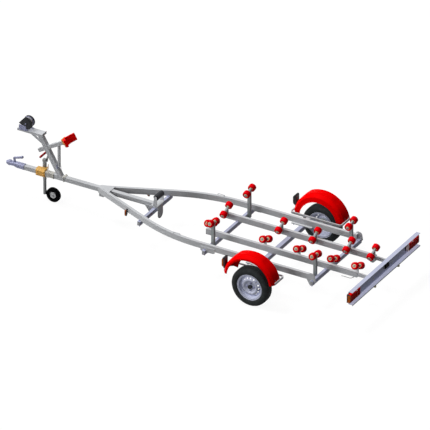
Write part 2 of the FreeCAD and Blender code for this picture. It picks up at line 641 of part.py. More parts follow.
def make_keel_roller_bracket():
    """Make the black roller's cradle: base, two cheeks, axle, a plate behind the drawbar and gussets."""
    body = new_body("keel_roller_bracket")
    base = "drawbar_z + drawbar_size / 2"
    span = "2 * keel_roller_half + 24"
    extrude(body, "XZ_Plane", (box("-30", "70", base, f"{base} + 6"),), span)
    cheek = (("-20", base), ("40", base), ("20", "keel_roller_z", "20.01"), ("-20", "keel_roller_z"))
    for side in (1, -1):
        extrude(body, "XZ_Plane", (cheek,), "6", offset=f"{side} * (keel_roller_half + 9)")
    extrude(body, "XZ_Plane", (("circle", "0", "keel_roller_z", "roller_axle"),), span)
    plate = (("-65", base), ("-65", "335", "65.01"), ("65", "335"), ("65", base))
    extrude(body, "YZ_Plane", (plate,), "6", offset="-20")
    gusset_x = "front_cross_x + cross_width / 2 - keel_roller_x"
    gusset = ((gusset_x, "330"), (f"{gusset_x} + 45", "330"), (f"{gusset_x} + 110", "415"),
              (f"{gusset_x} + 110", "430"), (gusset_x, "430"))
    for side in (1, -1):
        extrude(body, "XZ_Plane", (gusset,), "5", offset=f"{side} * (drawbar_size / 2 + 2.5)")
    return place(body, "keel_roller_x")


# ---------------------------------------------------------------- coupling and jockey wheel

def make_coupling():
    """Make the ball coupling on the drawbar's end and its handle."""
    head = new_body("coupling_head")
    plan = (("-280", "-36"), ("-36.1", "-36", "36.01"), ("-36.1", "36"), ("-280", "36"))
    extrude(head, "XY_Plane", (plan,), "76", offset="448")
    extrude(head, "XY_Plane", (box("-290", "-215", "-30.5", "30.5"),), "61", offset="445", cut=True)
    extrude(head, "XY_Plane", (box("-215", "-90", "-32", "32"),), "60", offset="436", cut=True)
    extrude(head, "XY_Plane", (("circle", "-45", "0", "25.1"),), "40", offset="430", cut=True)
    place(head, "half_length")
    handle = new_body("coupling_handle")
    grip = (("2712", "487"), ("2732", "487"), ("2742", "545"), ("2606", "592"), ("2594", "570"),
            ("2722", "530"))
    extrude(handle, "XZ_Plane", (grip,), "26")
    return [head, place(handle)]


def make_jockey_clamp():
    """Make the clamp: a sleeve round the drawbar with cut corners and a ring round the jockey tube."""
    clamp = new_body("jockey_clamp")
    half, low, high, play = "clamp_half", "395", "500", "drawbar_size / 2 + 0.2"
    sleeve = ((f"-{half}", low), (f"{half} - 8", low), (half, f"{low} + 12"), (half, f"{high} - 24"),
              (f"{half} - 16", high), (f"-{half} + 8", high), (f"-{half}", f"{high} - 8"))
    hole = box(f"-({play})", play, f"drawbar_z - ({play})", f"drawbar_z + {play}")
    extrude(clamp, "YZ_Plane", (sleeve, hole), "clamp_length", offset="clamp_x - jockey_x")
    web = box("-26", "26", "jockey_y", f"-{half}")
    extrude(clamp, "XY_Plane", (web,), "60", offset="450")
    extrude(clamp, "XY_Plane", (("circle", "0", "jockey_y", "jockey_tube + 9"),), "60", offset="450")
    bore = ("circle", "0", "jockey_y", "jockey_tube + 0.1")
    extrude(clamp, "XY_Plane", (bore,), "62", offset="450", cut=True)
    return place(clamp, "jockey_x")


def make_jockey_crank():
    """Make the crank: a block on the spindle, a cranked flat arm beside it and a grip across."""
    crank = new_body("jockey_crank")
    extrude(crank, "XY_Plane", (("circle", "0", "0", "11"),), "12", offset="jockey_high + 10")
    extrude(crank, "XY_Plane", (box("-14", "26", "-28", "16"),), "38", offset="jockey_high + 35")
    arm = (("-24", "550"), ("-8", "545"), ("2", "575"), ("-22", "645"), ("grip_x - jockey_x + 9", "grip_z"),
           ("grip_x - jockey_x - 9", "grip_z + 3"), ("-44", "642"))
    extrude(crank, "XZ_Plane", (arm,), "8", offset="-32")
    grip = ("circle", "grip_x - jockey_x", "grip_z", "grip_radius")
    extrude(crank, "XZ_Plane", (grip,), "178", offset="61")
    return place(crank, "jockey_x", "jockey_y")


def make_jockey():
    """Make the jockey wheel: clamp, outer tube, crank, inner tube, fork and wheel."""
    outer = new_body("jockey_outer_tube")
    wall = (("circle", "0", "0", "jockey_tube"), ("circle", "0", "0", "jockey_tube - jockey_wall"))
    extrude(outer, "XY_Plane", wall, "jockey_high - jockey_low", offset="(jockey_high + jockey_low) / 2")
    extrude(outer, "XY_Plane", (("circle", "0", "0", "jockey_tube"),), "4", offset="jockey_high + 2")
    place(outer, "jockey_x", "jockey_y")

    inner = new_body("jockey_inner_tube")
    radius = "jockey_tube - jockey_wall - running_gap"
    ring = (("circle", "0", "0", radius), ("circle", "0", "0", "jockey_pin + running_gap"))
    extrude(inner, "XY_Plane", ring, "245", offset="135 + 245 / 2")
    place(inner, "jockey_x", "jockey_y")

    fork = new_body("jockey_fork")
    extrude(fork, "XY_Plane", (("circle", "0", "0", radius),), "134 - fork_low",
            offset="(134 + fork_low) / 2")
    extrude(fork, "XY_Plane", (("circle", "0", "0", "jockey_pin"),), "60", offset="160")
    face = "jockey_wheel_width / 2 + 6"
    root = box("-jockey_tube + 4", "jockey_tube - 4", f"-({face} + 8)", "0")
    extrude(fork, "XY_Plane", (root,), "32", offset="fork_low + 20")
    arm = capsule("0", "fork_low + 20", "-jockey_trail", "jockey_wheel_radius", "16")
    extrude(fork, "XZ_Plane", (arm,), "8", offset=f"-({face} + 4)")
    pin = ("circle", "-jockey_trail", "jockey_wheel_radius", "jockey_pin")
    extrude(fork, "XZ_Plane", (pin,), f"2 * ({face}) + 8", offset="-4")
    place(fork, "jockey_x", "jockey_y")

    wheel = new_body("jockey_wheel")
    side, edge = "jockey_wheel_width / 2", "jockey_wheel_radius"
    bore = "jockey_pin + running_gap"
    revolve(wheel, (((f"-{side}", bore), (f"-{side}", "22"), (f"-{side} + 10", "40"), (f"-{side} + 4", "62"),
                     (f"-{side} + 2", f"{edge} - 14", "-16"), (f"-{side} + 14", edge),
                     (f"{side} - 14", edge, "-16"), (f"{side} - 2", f"{edge} - 14"), (f"{side} - 4", "62"),
                     (f"{side} - 10", "40"), (side, "22"), (side, bore)),))
    place_on_axle(wheel, 1, "jockey_x - jockey_trail", "jockey_y", "jockey_wheel_radius")
    return [make_jockey_clamp(), outer, make_jockey_crank(), inner, fork, wheel]


# ---------------------------------------------------------------- winch stand

def leaning(half):
    """Return the winch post's outline with a half width along X."""
    foot = "drawbar_z + drawbar_size / 2"
    return ((f"post_foot_x - {half}", foot), (f"post_foot_x + {half}", foot),
            (f"post_head_x + {half}", "post_head_z"), (f"post_head_x - {half}", "post_head_z"))


def along_stop_arm(low, high, start, end):
    """Return the corners of a bar along the bow stop's arm, measured from the bow stop's front."""
    across, up = "cos(stop_lean)", "sin(stop_lean)"
    return tuple((f"stop_x - ({reach}) * {across} + ({side}) * {up}",
                  f"stop_z + ({reach}) * {up} + ({side}) * {across}")
                 for reach, side in ((start, low), (end, low), (end, high), (start, high)))


def make_winch_post():
    """Make the leaning post, with the window that the bow stop's arm slides through."""
    post = new_body("winch_post")
    extrude(post, "XZ_Plane", (leaning("34.5"),), "60")
    extrude(post, "XZ_Plane", (leaning("31"),), "54", cut=True)
    extrude(post, "XZ_Plane", (along_stop_arm("-25.2", "25.2", "-480", "-60"),), "50.4", cut=True)
    return place(post)


def make_winch_arm():
    """Make the channel that carries the winch, its end flange and the brace below it."""
    arm = new_body("winch_arm")
    low, high = "post_head_z", "post_head_z + 30"
    extrude(arm, "XZ_Plane", (box("2275", "2650", low, high),), "110")
    extrude(arm, "XZ_Plane", (box("2281", "2650", low, f"{high} - 5"),), "100", cut=True)
    extrude(arm, "XZ_Plane", (box("2271", "2275", low, f"{high} + 10"),), "110")
    brace = (("2304", "889"), ("2314", "884"), ("2520", f"{low} + 5"), ("2490", f"{low} + 5"))
    extrude(arm, "XZ_Plane", (brace,), "30")
    extrude(arm, "XZ_Plane", (leaning("34.7"),), "60.4", cut=True)
    return place(arm)


def make_winch():
    """Make the winch: frame with shaft and near side plate, covers, drum and the strap on it."""
    frame = new_body("winch_frame")
    low = "post_head_z + 30"
    extrude(frame, "XZ_Plane", (box("-60", "110", low, f"{low} + 4"),), "112")
    cheek = (("-60", low), ("60", low), ("30", "winch_z + 20", "30.01"), ("-30", "winch_z + 20"))
    for side in (1, -1):
        extrude(frame, "XZ_Plane", (cheek,), "4", offset=f"winch_y + {side} * cheek_half")
    extrude(frame, "XZ_Plane", (("circle", "0", "winch_z", "winch_shaft"),), "92", offset="winch_y")
    gusset = (("-16", low), ("106", low), ("106", "1105"), ("96", "1112"), ("0", "1104"))
    extrude(frame, "XZ_Plane", (gusset,), "4", offset="winch_y + cheek_half + cover_sheet + 5")
    place(frame, "winch_x")

    covers = new_body("winch_covers")
    near = "winch_y + cheek_half + 2 + cover_sheet / 2"
    hood = (("winch_x + 112", "winch_z - 16"), ("winch_x + 104", "winch_z - 6"),
            ("winch_x + 20", "winch_z + 90"), ("winch_x + 8.9", "winch_z + 94.7", "cover_radius"),
            ("winch_x - 66.5", "winch_z + 72.3", "cover_radius"),
            ("winch_x - 92.4", "winch_z - 10.8", "cover_radius"),
            ("winch_x - 18.3", "winch_z - 79.1", "cover_radius"),
            ("winch_x + 67", "winch_z - 41.2"), ("winch_x + 70", "winch_z - 28"))
    extrude(covers, "XZ_Plane", (hood,), "cover_sheet", offset=near)
    far = "winch_y - cheek_half - 2 - cover_sheet / 2"
    guard = ("circle", "winch_x", "winch_z", "drum_radius + 5")
    extrude(covers, "XZ_Plane", (guard,), "cover_sheet", offset=far)
    for middle in (near, far):
        extrude(covers, "XZ_Plane", (("circle", "winch_x", "winch_z", "winch_shaft"),), "cover_sheet + 2",
                offset=middle, cut=True)
        under = box("winch_x - 100", "winch_x + 100", f"{low} - 50", f"{low} + 4.2")
        extrude(covers, "XZ_Plane", (under,), "cover_sheet + 2", offset=middle, cut=True)
    place(covers)

    drum = new_body("winch_drum")
    bore, half, inside = "winch_shaft + running_gap", "drum_half", "drum_half - drum_sheet"
    revolve(drum, (((f"-{half}", bore), (f"-{half}", "drum_radius"), (f"-({inside})", "drum_radius"),
                    (f"-({inside})", "core_radius"), (inside, "core_radius"), (inside, "drum_radius"),
                    (half, "drum_radius"), (half, bore)),))
    place_on_axle(drum, 1, "winch_x", "winch_y", "winch_z")

    strap = new_body("winch_strap")
    wide = f"{inside} - 0.5"
    revolve(strap, (((f"-({wide})", "core_radius"), (f"-({wide})", "strap_radius"), (wide, "strap_radius"),
                     (wide, "core_radius")),))
    place_on_axle(strap, 1, "winch_x", "winch_y", "winch_z")
    return [frame, covers, drum, strap]


def make_bow_stop():
    """Make the V of the bow stop, its bracket and the arm that carries it through the post."""
    arm = new_body("bow_stop_arm")
    extrude(arm, "XZ_Plane", (along_stop_arm("-25", "25", "-460", "-22"),), "50")
    under = "stop_z - 25 / cos(stop_lean) - (2050 - stop_x) * tan(stop_lean)"
    strut = (("2035", "590"), ("2065", "606"), ("2065", f"{under} - 15 * tan(stop_lean)"),
             ("2035", f"{under} + 15 * tan(stop_lean)"))
    extrude(arm, "XZ_Plane", (strut,), "30")
    place(arm)

    bracket = new_body("bow_stop_bracket")
    extrude(bracket, "XZ_Plane", (along_stop_arm("-30", "55", "-22", "0"),), "80")
    place(bracket)

    stop = new_body("bow_stop")
    outline = (("86", "-132"), ("111", "-107"), ("30", "-26"), ("30", "26"), ("111", "107"), ("86", "132"),
               ("0", "45"), ("0", "-45"))
    extrude(stop, "XY_Plane", (outline,), "stop_height")
    place(stop, "stop_x", "0", "stop_z", (0, 1, 0), "180 + stop_lean")
    return [arm, bracket, stop]


def make_winch_stand():
    """Make the post, the winch on its arm and the bow stop."""
    return [make_winch_post(), make_winch_arm()] + make_winch() + make_bow_stop()


# ---------------------------------------------------------------- light board, lamps and fittings

def make_light_board():
    """Make the folded board across the rear and the bars that slide into the keel rails."""
    board = new_body("light_board")
    rear, front = "-half_length", "-half_length + board_depth"
    extrude(board, "XZ_Plane", (box(rear, front, "board_low", "board_high"),), "2 * board_half")
    inner = box(rear, f"{front} - board_sheet", "board_low + board_sheet", "board_high - board_sheet")
    extrude(board, "XZ_Plane", (inner,), "2 * board_half + 10", cut=True)
    place(board)

    slides = new_body("light_board_slides")
    for _, side in SIDES:
        bar = box(f"{side} * keel_rail_y - 12", f"{side} * keel_rail_y + 12", "415", "465")
        extrude(slides, "YZ_Plane", (bar,), "300", offset=f"{front} + 150")
    return [board, place(slides)]


def make_lamps():
    """Make the tail, plate, position and side marker lamps: lenses and their housings."""
    lamps, amber, housings = new_body("tail_lamps"), new_body("amber_lamps"), new_body("lamp_housings")
    lens = (("-2793", "438"), ("-2793", "553"), ("-2838", "553"), ("-2846", "545"), ("-2846", "446"),
            ("-2838", "438"))
    for _, side in SIDES:
        middle = f"{side} * lamp_middle + lamp_shift"
        red = f"{middle} - {side} * amber_length / 2"
        extrude(lamps, "XZ_Plane", (lens,), "lamp_length - amber_length", offset=red)
        outer = f"{middle} + {side} * (lamp_length - amber_length) / 2"
        extrude(amber, "XZ_Plane", (lens,), "amber_length", offset=outer)
        case = (("-1000", "448"), ("-992", "440"), ("-980", "440"), ("-980", "600"), ("-990", "600"),
                ("-1000", "590"))
        extrude(housings, "XZ_Plane", (case,), "84", offset=f"{side} * position_y")
        dome = (("-980", "446"), ("-958", "450"), ("-952", "462"), ("-952", "522"), ("-958", "534"),
                ("-980", "540"))
        extrude(amber, "XZ_Plane", (dome,), "76", offset=f"{side} * position_y")
        bracket = box("marker_x - 14", "marker_x", "370", "455")
        extrude(housings, "XZ_Plane", (bracket,), "20", offset=f"{side} * (marker_y + 10)")
        side_lens = (("marker_x", "345"), ("marker_x + 24", "345"), ("marker_x + 28", "350"),
                     ("marker_x + 28", "426"), ("marker_x + 24", "431"), ("marker_x", "431"))
        extrude(amber, "XZ_Plane", (side_lens,), "22", offset=f"{side} * (marker_y + 8)")
    plate_lamp = (("-2793", "478"), ("-2793", "528"), ("-2815", "528"), ("-2830", "510"), ("-2830", "478"))
    extrude(housings, "XZ_Plane", (plate_lamp,), "90", offset="-60")
    return [place(lamps), place(amber), place(housings)]


def make_eyes():
    """Make the tie-down eyes, bent from round bar, on the side rails."""
    eyes = new_body("tie_down_eyes")
    high, turn = "rail_top + 21", "12"
    for _, side in SIDES:
        profile = sketch_on(eyes, "XY_Plane", "rail_top")
        draw_circle(profile, "eye_rear", f"{side} * eye_y", "eye_rod")
        spine = sketch_on(eyes, "XZ_Plane", f"{side} * eye_y")
        draw(spine, (("eye_rear", "rail_top"), ("eye_rear", f"{high} - {turn}", f"-{turn}"),
                     (f"eye_rear + {turn}", high), (f"eye_front - {turn}", high, f"-{turn}"),
                     ("eye_front", f"{high} - {turn}"), ("eye_front", "rail_top")), closed=False)
        pipe = eyes.newObject("PartDesign::AdditivePipe", "eye_pipe")
        pipe.Profile = profile
        pipe.Spine = spine
        eyes.Tip = pipe
    return place(eyes)


def make_clamps():
    """Make the pads between rails and axle and the plates that join rails, crossmembers and posts."""
    clamps = new_body("frame_clamps")
    under = "rail_top - rail_height"
    gap = f"{under} - beam_z - beam_size / 2"
    for _, side in SIDES:
        pads = (("beam_x - 150", "beam_x + 150", "side_rail_y - 50", "side_rail_y + 44"),
                ("beam_x - 30", "beam_x + 30", "keel_rail_y - 20", "keel_rail_y + 20"))
        for x0, x1, y0, y1 in pads:
            extrude(clamps, "XY_Plane", (box(x0, x1, f"{side} * ({y0})", f"{side} * ({y1})"),), gap,
                    offset=f"{under} - ({gap}) / 2")
        face = f"{side} * (side_rail_y + rail_width / 2 + 3)"
        joint = (("-645", "378"), ("-620", "368"), ("-460", "368"), ("-435", "378"), ("-435", "440"),
                 ("-645", "440"))
        extrude(clamps, "XZ_Plane", (joint,), "6", offset=face)
        end = (("-2150", "400"), ("-2095", "322"), ("-2067", "322"), ("-2020", "400"), ("-2040", "470", "52"),
               ("-2140", "470"))
        extrude(clamps, "XZ_Plane", (end,), "6", offset=face)
        for x in ("middle_cross_x", "rear_cross_x"):
            slot = box(f"{x} - cross_width / 2 - 0.2", f"{x} + cross_width / 2 + 0.2",
                       f"{under} - cross_height - 0.2", f"{under} + 0.2")
            extrude(clamps, "XZ_Plane", (slot,), "8", offset=face, cut=True)
    return place(clamps)


# ---------------------------------------------------------------- build, test and write

pieces = make_frame() + make_wheels()
for word, side in SIDES:
    pieces.append(make_mudguard("mudguard_" + word, side))
    for name, *where in PAIRS:
        pieces.append(make_roller_pair(f"rollers_{name}_{word}", side, *where))
pieces.append(make_mudguard_brackets())
pieces += make_holders()
pieces += [make_keel_roller(), make_keel_roller_bracket()]
pieces += make_coupling() + make_jockey() + make_winch_stand()
pieces += make_light_board() + make_lamps() + [make_eyes(), make_clamps()]

doc.recompute()
faults = [item.Name for item in doc.Objects if {"Invalid", "Error"} & set(item.State)]
faults += [item.Label for item in pieces if item.Shape.isNull() or not item.Shape.isValid()]
if faults:
    raise RuntimeError("failed: " + ", ".join(faults))

os.makedirs("parts", exist_ok=True)
for item in pieces:
    item.Shape.exportStep(f"parts/{item.Label}.step")
    print(item.Label, len(item.Shape.Solids), round(item.Shape.Volume / 1e3), "cm3")
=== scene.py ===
"""Dress the single-axle boat trailer: its finishes, tyres, boat rollers, fixings, lamps and studio.

Lengths are in metres: +X points to the coupling, +Y to the left side and +Z up.
"""

import functools
import json
import logging
import math
from dataclasses import dataclass
from enum import Enum
from typing import ClassVar, Iterable, Optional, Sequence, Union

import bmesh
import bpy
from mathutils import Matrix, Vector


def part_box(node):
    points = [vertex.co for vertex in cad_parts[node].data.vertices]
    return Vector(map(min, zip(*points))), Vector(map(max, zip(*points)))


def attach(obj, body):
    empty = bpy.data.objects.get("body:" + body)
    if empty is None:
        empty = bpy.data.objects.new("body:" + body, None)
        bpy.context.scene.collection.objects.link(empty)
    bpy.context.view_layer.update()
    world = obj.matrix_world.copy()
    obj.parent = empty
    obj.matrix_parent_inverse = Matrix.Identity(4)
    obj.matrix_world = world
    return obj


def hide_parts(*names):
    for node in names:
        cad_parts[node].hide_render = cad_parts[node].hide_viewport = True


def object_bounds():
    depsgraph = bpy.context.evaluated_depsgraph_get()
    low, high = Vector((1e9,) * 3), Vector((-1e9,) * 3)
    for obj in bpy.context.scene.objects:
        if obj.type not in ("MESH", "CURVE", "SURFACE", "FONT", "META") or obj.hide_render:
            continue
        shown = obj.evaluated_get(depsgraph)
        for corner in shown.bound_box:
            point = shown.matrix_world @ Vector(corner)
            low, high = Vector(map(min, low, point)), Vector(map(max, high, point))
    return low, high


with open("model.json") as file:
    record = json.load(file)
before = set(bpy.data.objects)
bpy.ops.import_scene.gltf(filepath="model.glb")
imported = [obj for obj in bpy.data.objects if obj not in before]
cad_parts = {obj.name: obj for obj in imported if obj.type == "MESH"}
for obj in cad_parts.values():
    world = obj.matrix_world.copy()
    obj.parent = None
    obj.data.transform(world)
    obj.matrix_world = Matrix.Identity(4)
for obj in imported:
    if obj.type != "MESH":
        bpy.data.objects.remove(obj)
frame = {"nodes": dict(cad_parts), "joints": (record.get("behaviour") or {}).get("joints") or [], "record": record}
log = logging.getLogger("boat_trailer")

Colour = tuple[float, float, float]
Corner = tuple[float, float]
Pair = tuple[float, float]
Spot = tuple[float, float, float]
Place = Sequence[float]

# The solids' box, the joints by name, and how left and right lie along Y.
CAD_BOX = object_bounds()
JOINTS = {joint["name"]: joint for joint in frame["joints"]}
SIDES = {"left": 1, "right": -1}
ENDS = (-1, 1)

# Directions of axes.
AHEAD, BACK = (1, 0, 0), (-1, 0, 0)
LEFT, RIGHT = (0, 1, 0), (0, -1, 0)
UP, DOWN = (0, 0, 1), (0, 0, -1)

# Sockets of the colour mix node: its share and two colours, and the mixed colour.
MIX_INPUTS, MIX_OUTPUT = (0, 6, 7), 2

THREAD_PITCH = 0.0016
CROSSMEMBERS = ("crossmember_front", "crossmember_middle", "crossmember_rear")


def swatch(red: int, green: int, blue: int) -> Colour:
    """Turn the levels of a colour chart into a linear colour.

    Args:
        red, green, blue: levels from 0 to 255.

    Returns:
        The colour as the shaders take it.
    """
    def linear(level: int) -> float:
        """Undo the chart's tone curve for one channel."""
        share = level / 255
        return share / 12.92 if share <= 0.04045 else ((share + 0.055) / 1.055) ** 2.4
    return linear(red), linear(green), linear(blue)


def tinted(colour: Colour, share: float) -> Colour:
    """Return a colour made lighter or darker by a share."""
    return tuple(min(1.0, channel * share) for channel in colour)


# ---------------------------------------------------------------- shader maths

class Signal:
    """A shader socket that adds a Math node for each operator used on it."""

    def __init__(self, bench: "Bench", socket: Optional[bpy.types.NodeSocket]) -> None:
        """Wrap one output socket of a bench's nodes."""
        self.bench = bench
        self.socket = socket

    def maths(self, operation: str, *operands: Union[float, "Signal"]) -> "Signal":
        """Add a Math node of the given operation and return its result."""
        return self.bench.node("ShaderNodeMath", {"operation": operation}, dict(enumerate(operands)))

    def __add__(self, other: Union[float, "Signal"]) -> "Signal":
        """Return the sum."""
        return self.maths("ADD", self, other)

    __radd__ = __add__

    def __sub__(self, other: Union[float, "Signal"]) -> "Signal":
        """Return the difference."""
        return self.maths("SUBTRACT", self, other)

    def __rsub__(self, other: float) -> "Signal":
        """Return a number less this."""
        return self.maths("SUBTRACT", other, self)

    def __mul__(self, other: Union[float, "Signal"]) -> "Signal":
        """Return the product."""
        return self.maths("MULTIPLY", self, other)

    __rmul__ = __mul__

    def sine(self) -> "Signal":
        """Return the sine, for ribs and weaves."""
        return self.maths("SINE", self)

    def step(self, low: float, high: float) -> "Signal":
        """Return a smooth step from 0 at the low value to 1 at the high one."""
        settings = {"interpolation_type": "SMOOTHSTEP"}
        return self.bench.node("ShaderNodeMapRange", settings, {"Value": self, "From Min": low, "From Max": high})


Feed = Union[float, tuple, Signal]


class Bench:
    """The nodes of one material or world."""

    def __init__(self, tree: bpy.types.NodeTree) -> None:
        """Empty a node tree and take it over."""
        tree.nodes.clear()
        self.tree = tree

    def node(self, kind: str, settings: dict, inputs: dict[Union[int, str], Feed],
             output: Union[int, str] = 0) -> Signal:
        """Add one node.

        Args:
            kind: the node's type.
            settings: its options, set before any socket.
            inputs: numbers, colours or signals by socket.
            output: the socket that is returned.

        Returns:
            The chosen output.
        """
        node = self.tree.nodes.new(kind)
        for name, setting in settings.items():
            setattr(node, name, setting)
        for name, feed in inputs.items():
            if isinstance(feed, Signal):
                self.tree.links.new(feed.socket, node.inputs[name])
            else:
                node.inputs[name].default_value = feed
        return Signal(self, node.outputs[output] if node.outputs else None)

    def where(self) -> Signal:
        """Return the place on the object, in metres."""
        return self.node("ShaderNodeTexCoord", {}, {}, "Object")

    def noise(self, scale: float, detail: float = 3, stretch: Spot = (1, 1, 1)) -> Signal:
        """Return noise from 0 to 1 with so many clouds in a metre and so many finer layers, its axes stretched."""
        at = self.node("ShaderNodeVectorMath", {"operation": "MULTIPLY"}, {0: self.where(), 1: stretch})
        return self.node("ShaderNodeTexNoise", {}, {"Vector": at, "Scale": scale, "Detail": detail})

    def axis(self, name: str) -> Signal:
        """Return one coordinate of the place on the object."""
        return self.node("ShaderNodeSeparateXYZ", {}, {0: self.where()}, name)

    def crystals(self, scale: float) -> Signal:
        """Return a level from 0 to 1 that jumps from crystal to crystal."""
        cells = self.node("ShaderNodeTexVoronoi", {}, {"Vector": self.where(), "Scale": scale}, "Color")
        return self.node("ShaderNodeSeparateColor", {}, {0: cells}, "Red")

    def blend(self, share: Feed, first: Feed, second: Feed) -> Signal:
        """Return a mix of two colours.

        Args:
            share: how much of the second is in it, from 0 to 1.
            first, second: the colours.

        Returns:
            The mixed colour.
        """
        colours = [(*feed, 1) if isinstance(feed, tuple) and len(feed) == 3 else feed for feed in (first, second)]
        feeds = dict(zip(MIX_INPUTS, (share, *colours)))
        return self.node("ShaderNodeMix", {"data_type": "RGBA"}, feeds, MIX_OUTPUT)

    def grey(self, level: Signal) -> Signal:
        """Return a level from 0 to 1 as a grey."""
        return self.blend(level, (0.0, 0.0, 0.0), (1.0, 1.0, 1.0))

    def bump(self, height: Signal, depth: float) -> Signal:
        """Return the normal of a surface raised by a height times a depth in metres."""
        return self.node("ShaderNodeBump", {}, {"Height": height, "Distance": depth, "Strength": 1.0}, "Normal")


@dataclass(frozen=True)
class Finish:
    """A smooth finish: what every kind of finish starts from."""

    name: str
    colour: Colour
    roughness: float
    metallic: float = 0.0
    specular: float = 0.5

    def surface(self, bench: Bench) -> dict[str, Feed]:
        """Return what varies over the surface, by the shader's socket.

        Args:
            bench: where the nodes are built.

        Returns:
            The varying sockets and what feeds them.
        """
        cloud = bench.noise(9, 4)
        return {"Base Color": bench.blend(cloud, tinted(self.colour, 0.93), tinted(self.colour, 1.05)),
                "Normal": bench.bump(bench.noise(700, 2), 0.00005)}

    def material(self) -> bpy.types.Material:
        """Build the finish's material.

        Returns:
            The material.
        """
        made = bpy.data.materials.new(self.name)
        made.use_nodes = True
        bench = Bench(made.node_tree)
        inputs = {"Base Color": (*self.colour, 1), "Roughness": self.roughness, "Metallic": self.metallic,
                  "Specular IOR Level": self.specular}
        inputs.update(self.surface(bench))
        shader = bench.node("ShaderNodeBsdfPrincipled", {}, inputs)
        bench.node("ShaderNodeOutputMaterial", {}, {"Surface": shader})
        return made


@functools.cache
def material_of(finish: Finish) -> bpy.types.Material:
    """Return a finish's material, made once."""
    return finish.material()


@dataclass(frozen=True)
class Galvanised(Finish):
    """Hot-dipped zinc: crystals of different shade, cloudy runs and a slightly rough skin."""

    crystal: float = 85
    contrast: float = 0.07

    def surface(self, bench: Bench) -> dict[str, Feed]:
        """Return the crystals' shade, roughness and bump.

        Args:
            bench: where the nodes are built.

        Returns:
            The varying sockets and what feeds them.
        """
        flake = bench.crystals(self.crystal)
        cloud = bench.noise(4, 5)
        run = bench.noise(26, 3, (1, 1, 0.25))
        share = 0.5 * flake + 0.8 * cloud + 0.4 * run - 0.35
        dark, light = tinted(self.colour, 1 - self.contrast), tinted(self.colour, 1 + self.contrast)
        return {"Base Color": bench.blend(share.step(0, 1), dark, light),
                "Roughness": self.roughness + 0.16 * (flake - 0.5) + 0.1 * (cloud - 0.5),
                "Normal": bench.bump(0.6 * bench.noise(420, 3) + 0.4 * cloud, 0.00025)}


@dataclass(frozen=True)
class Banded(Galvanised):
    """Dipped zinc with painted light and shade: parts of a solid made lighter and darker; a band is a shade and its
    steps along the axes.
    """

    # Each band is painted light and shade on part of a solid: a colour and its steps along the axes.
    painted_light_bands: tuple[tuple[Colour, tuple[tuple[str, float, float], ...]], ...] = ()

    def surface(self, bench: Bench) -> dict[str, Feed]:
        """Return the zinc with its painted light and shade.

        Args:
            bench: where the nodes are built.

        Returns:
            The varying sockets and what feeds them.
        """
        zinc = super().surface(bench)
        colour = zinc["Base Color"]
        # Lay each band of painted light and shade over the zinc.
        for shade, steps in self.painted_light_bands:
            share: Union[float, Signal] = 0.85
            for name, start, end in steps:
                reach = bench.axis(name).step(min(start, end), max(start, end))
                share = share * (reach if start < end else 1 - reach)
            colour = bench.blend(share, colour, shade)
        return {**zinc, "Base Color": colour}


@dataclass(frozen=True)
class Plated(Finish):
    """Electroplated steel: fine drawn lines and a faint change of colour."""

    second: Colour = (0.5, 0.5, 0.5)

    def surface(self, bench: Bench) -> dict[str, Feed]:
        """Return the plating's colours and drawn lines.

        Args:
            bench: where the nodes are built.

        Returns:
            The varying sockets and what feeds them.
        """
        cloud = bench.noise(14, 3)
        lines = bench.noise(300, 2, (0.06, 1, 1))
        return {"Base Color": bench.blend(cloud.step(0.35, 0.75), self.colour, self.second),
                "Roughness": self.roughness + 0.14 * (lines - 0.5),
                "Normal": bench.bump(lines, 0.00006)}


@dataclass(frozen=True)
class Moulded(Finish):
    """Moulded plastic: fine grain, faint scuffs and dust."""

    grain: float = 500
    depth: float = 0.00008
    dust: float = 0.05

    def surface(self, bench: Bench) -> dict[str, Feed]:
        """Return the plastic's colour, scuffs and grain.

        Args:
            bench: where the nodes are built.

        Returns:
            The varying sockets and what feeds them.
        """
        cloud = bench.noise(6, 4)
        scuff = bench.noise(60, 4, (1, 0.12, 1)).step(0.6, 0.78)
        colour = bench.blend(cloud, tinted(self.colour, 0.94), tinted(self.colour, 1.06))
        return {"Base Color": bench.blend(self.dust * scuff, colour, (0.6, 0.58, 0.56)),
                "Roughness": self.roughness + 0.12 * scuff + 0.08 * (cloud - 0.5),
                "Normal": bench.bump(bench.noise(self.grain, 2), self.depth)}


@dataclass(frozen=True)
class Rubber(Finish):
    """Black rubber with a dusty bloom."""

    def surface(self, bench: Bench) -> dict[str, Feed]:
        """Return the rubber's bloom and grain.

        Args:
            bench: where the nodes are built.

        Returns:
            The varying sockets and what feeds them.
        """
        bloom = bench.noise(18, 5).step(0.42, 0.85)
        return {"Base Color": bench.blend(bloom, self.colour, tinted(self.colour, 2.1)),
                "Roughness": self.roughness + 0.1 * bloom,
                "Normal": bench.bump(bench.noise(650, 3), 0.00018)}


@dataclass(frozen=True)
class Lens(Finish):
    """A lamp's clear plastic over ribbed reflectors."""

    ribs: float = 900
    inner: Colour = (0.5, 0.5, 0.5)

    def surface(self, bench: Bench) -> dict[str, Feed]:
        """Return the ribs that show through the lens.

        Args:
            bench: where the nodes are built.

        Returns:
            The varying sockets and what feeds them.
        """
        rib = 0.5 + 0.5 * (bench.axis("Y") * self.ribs).sine()
        course = 0.5 + 0.5 * (bench.axis("Z") * self.ribs * 0.55).sine()
        share = 0.6 * rib + 0.4 * course
        return {"Base Color": bench.blend(share, self.colour, self.inner),
                "Roughness": self.roughness + 0.1 * (1 - share),
                "Normal": bench.bump(share, 0.0004)}


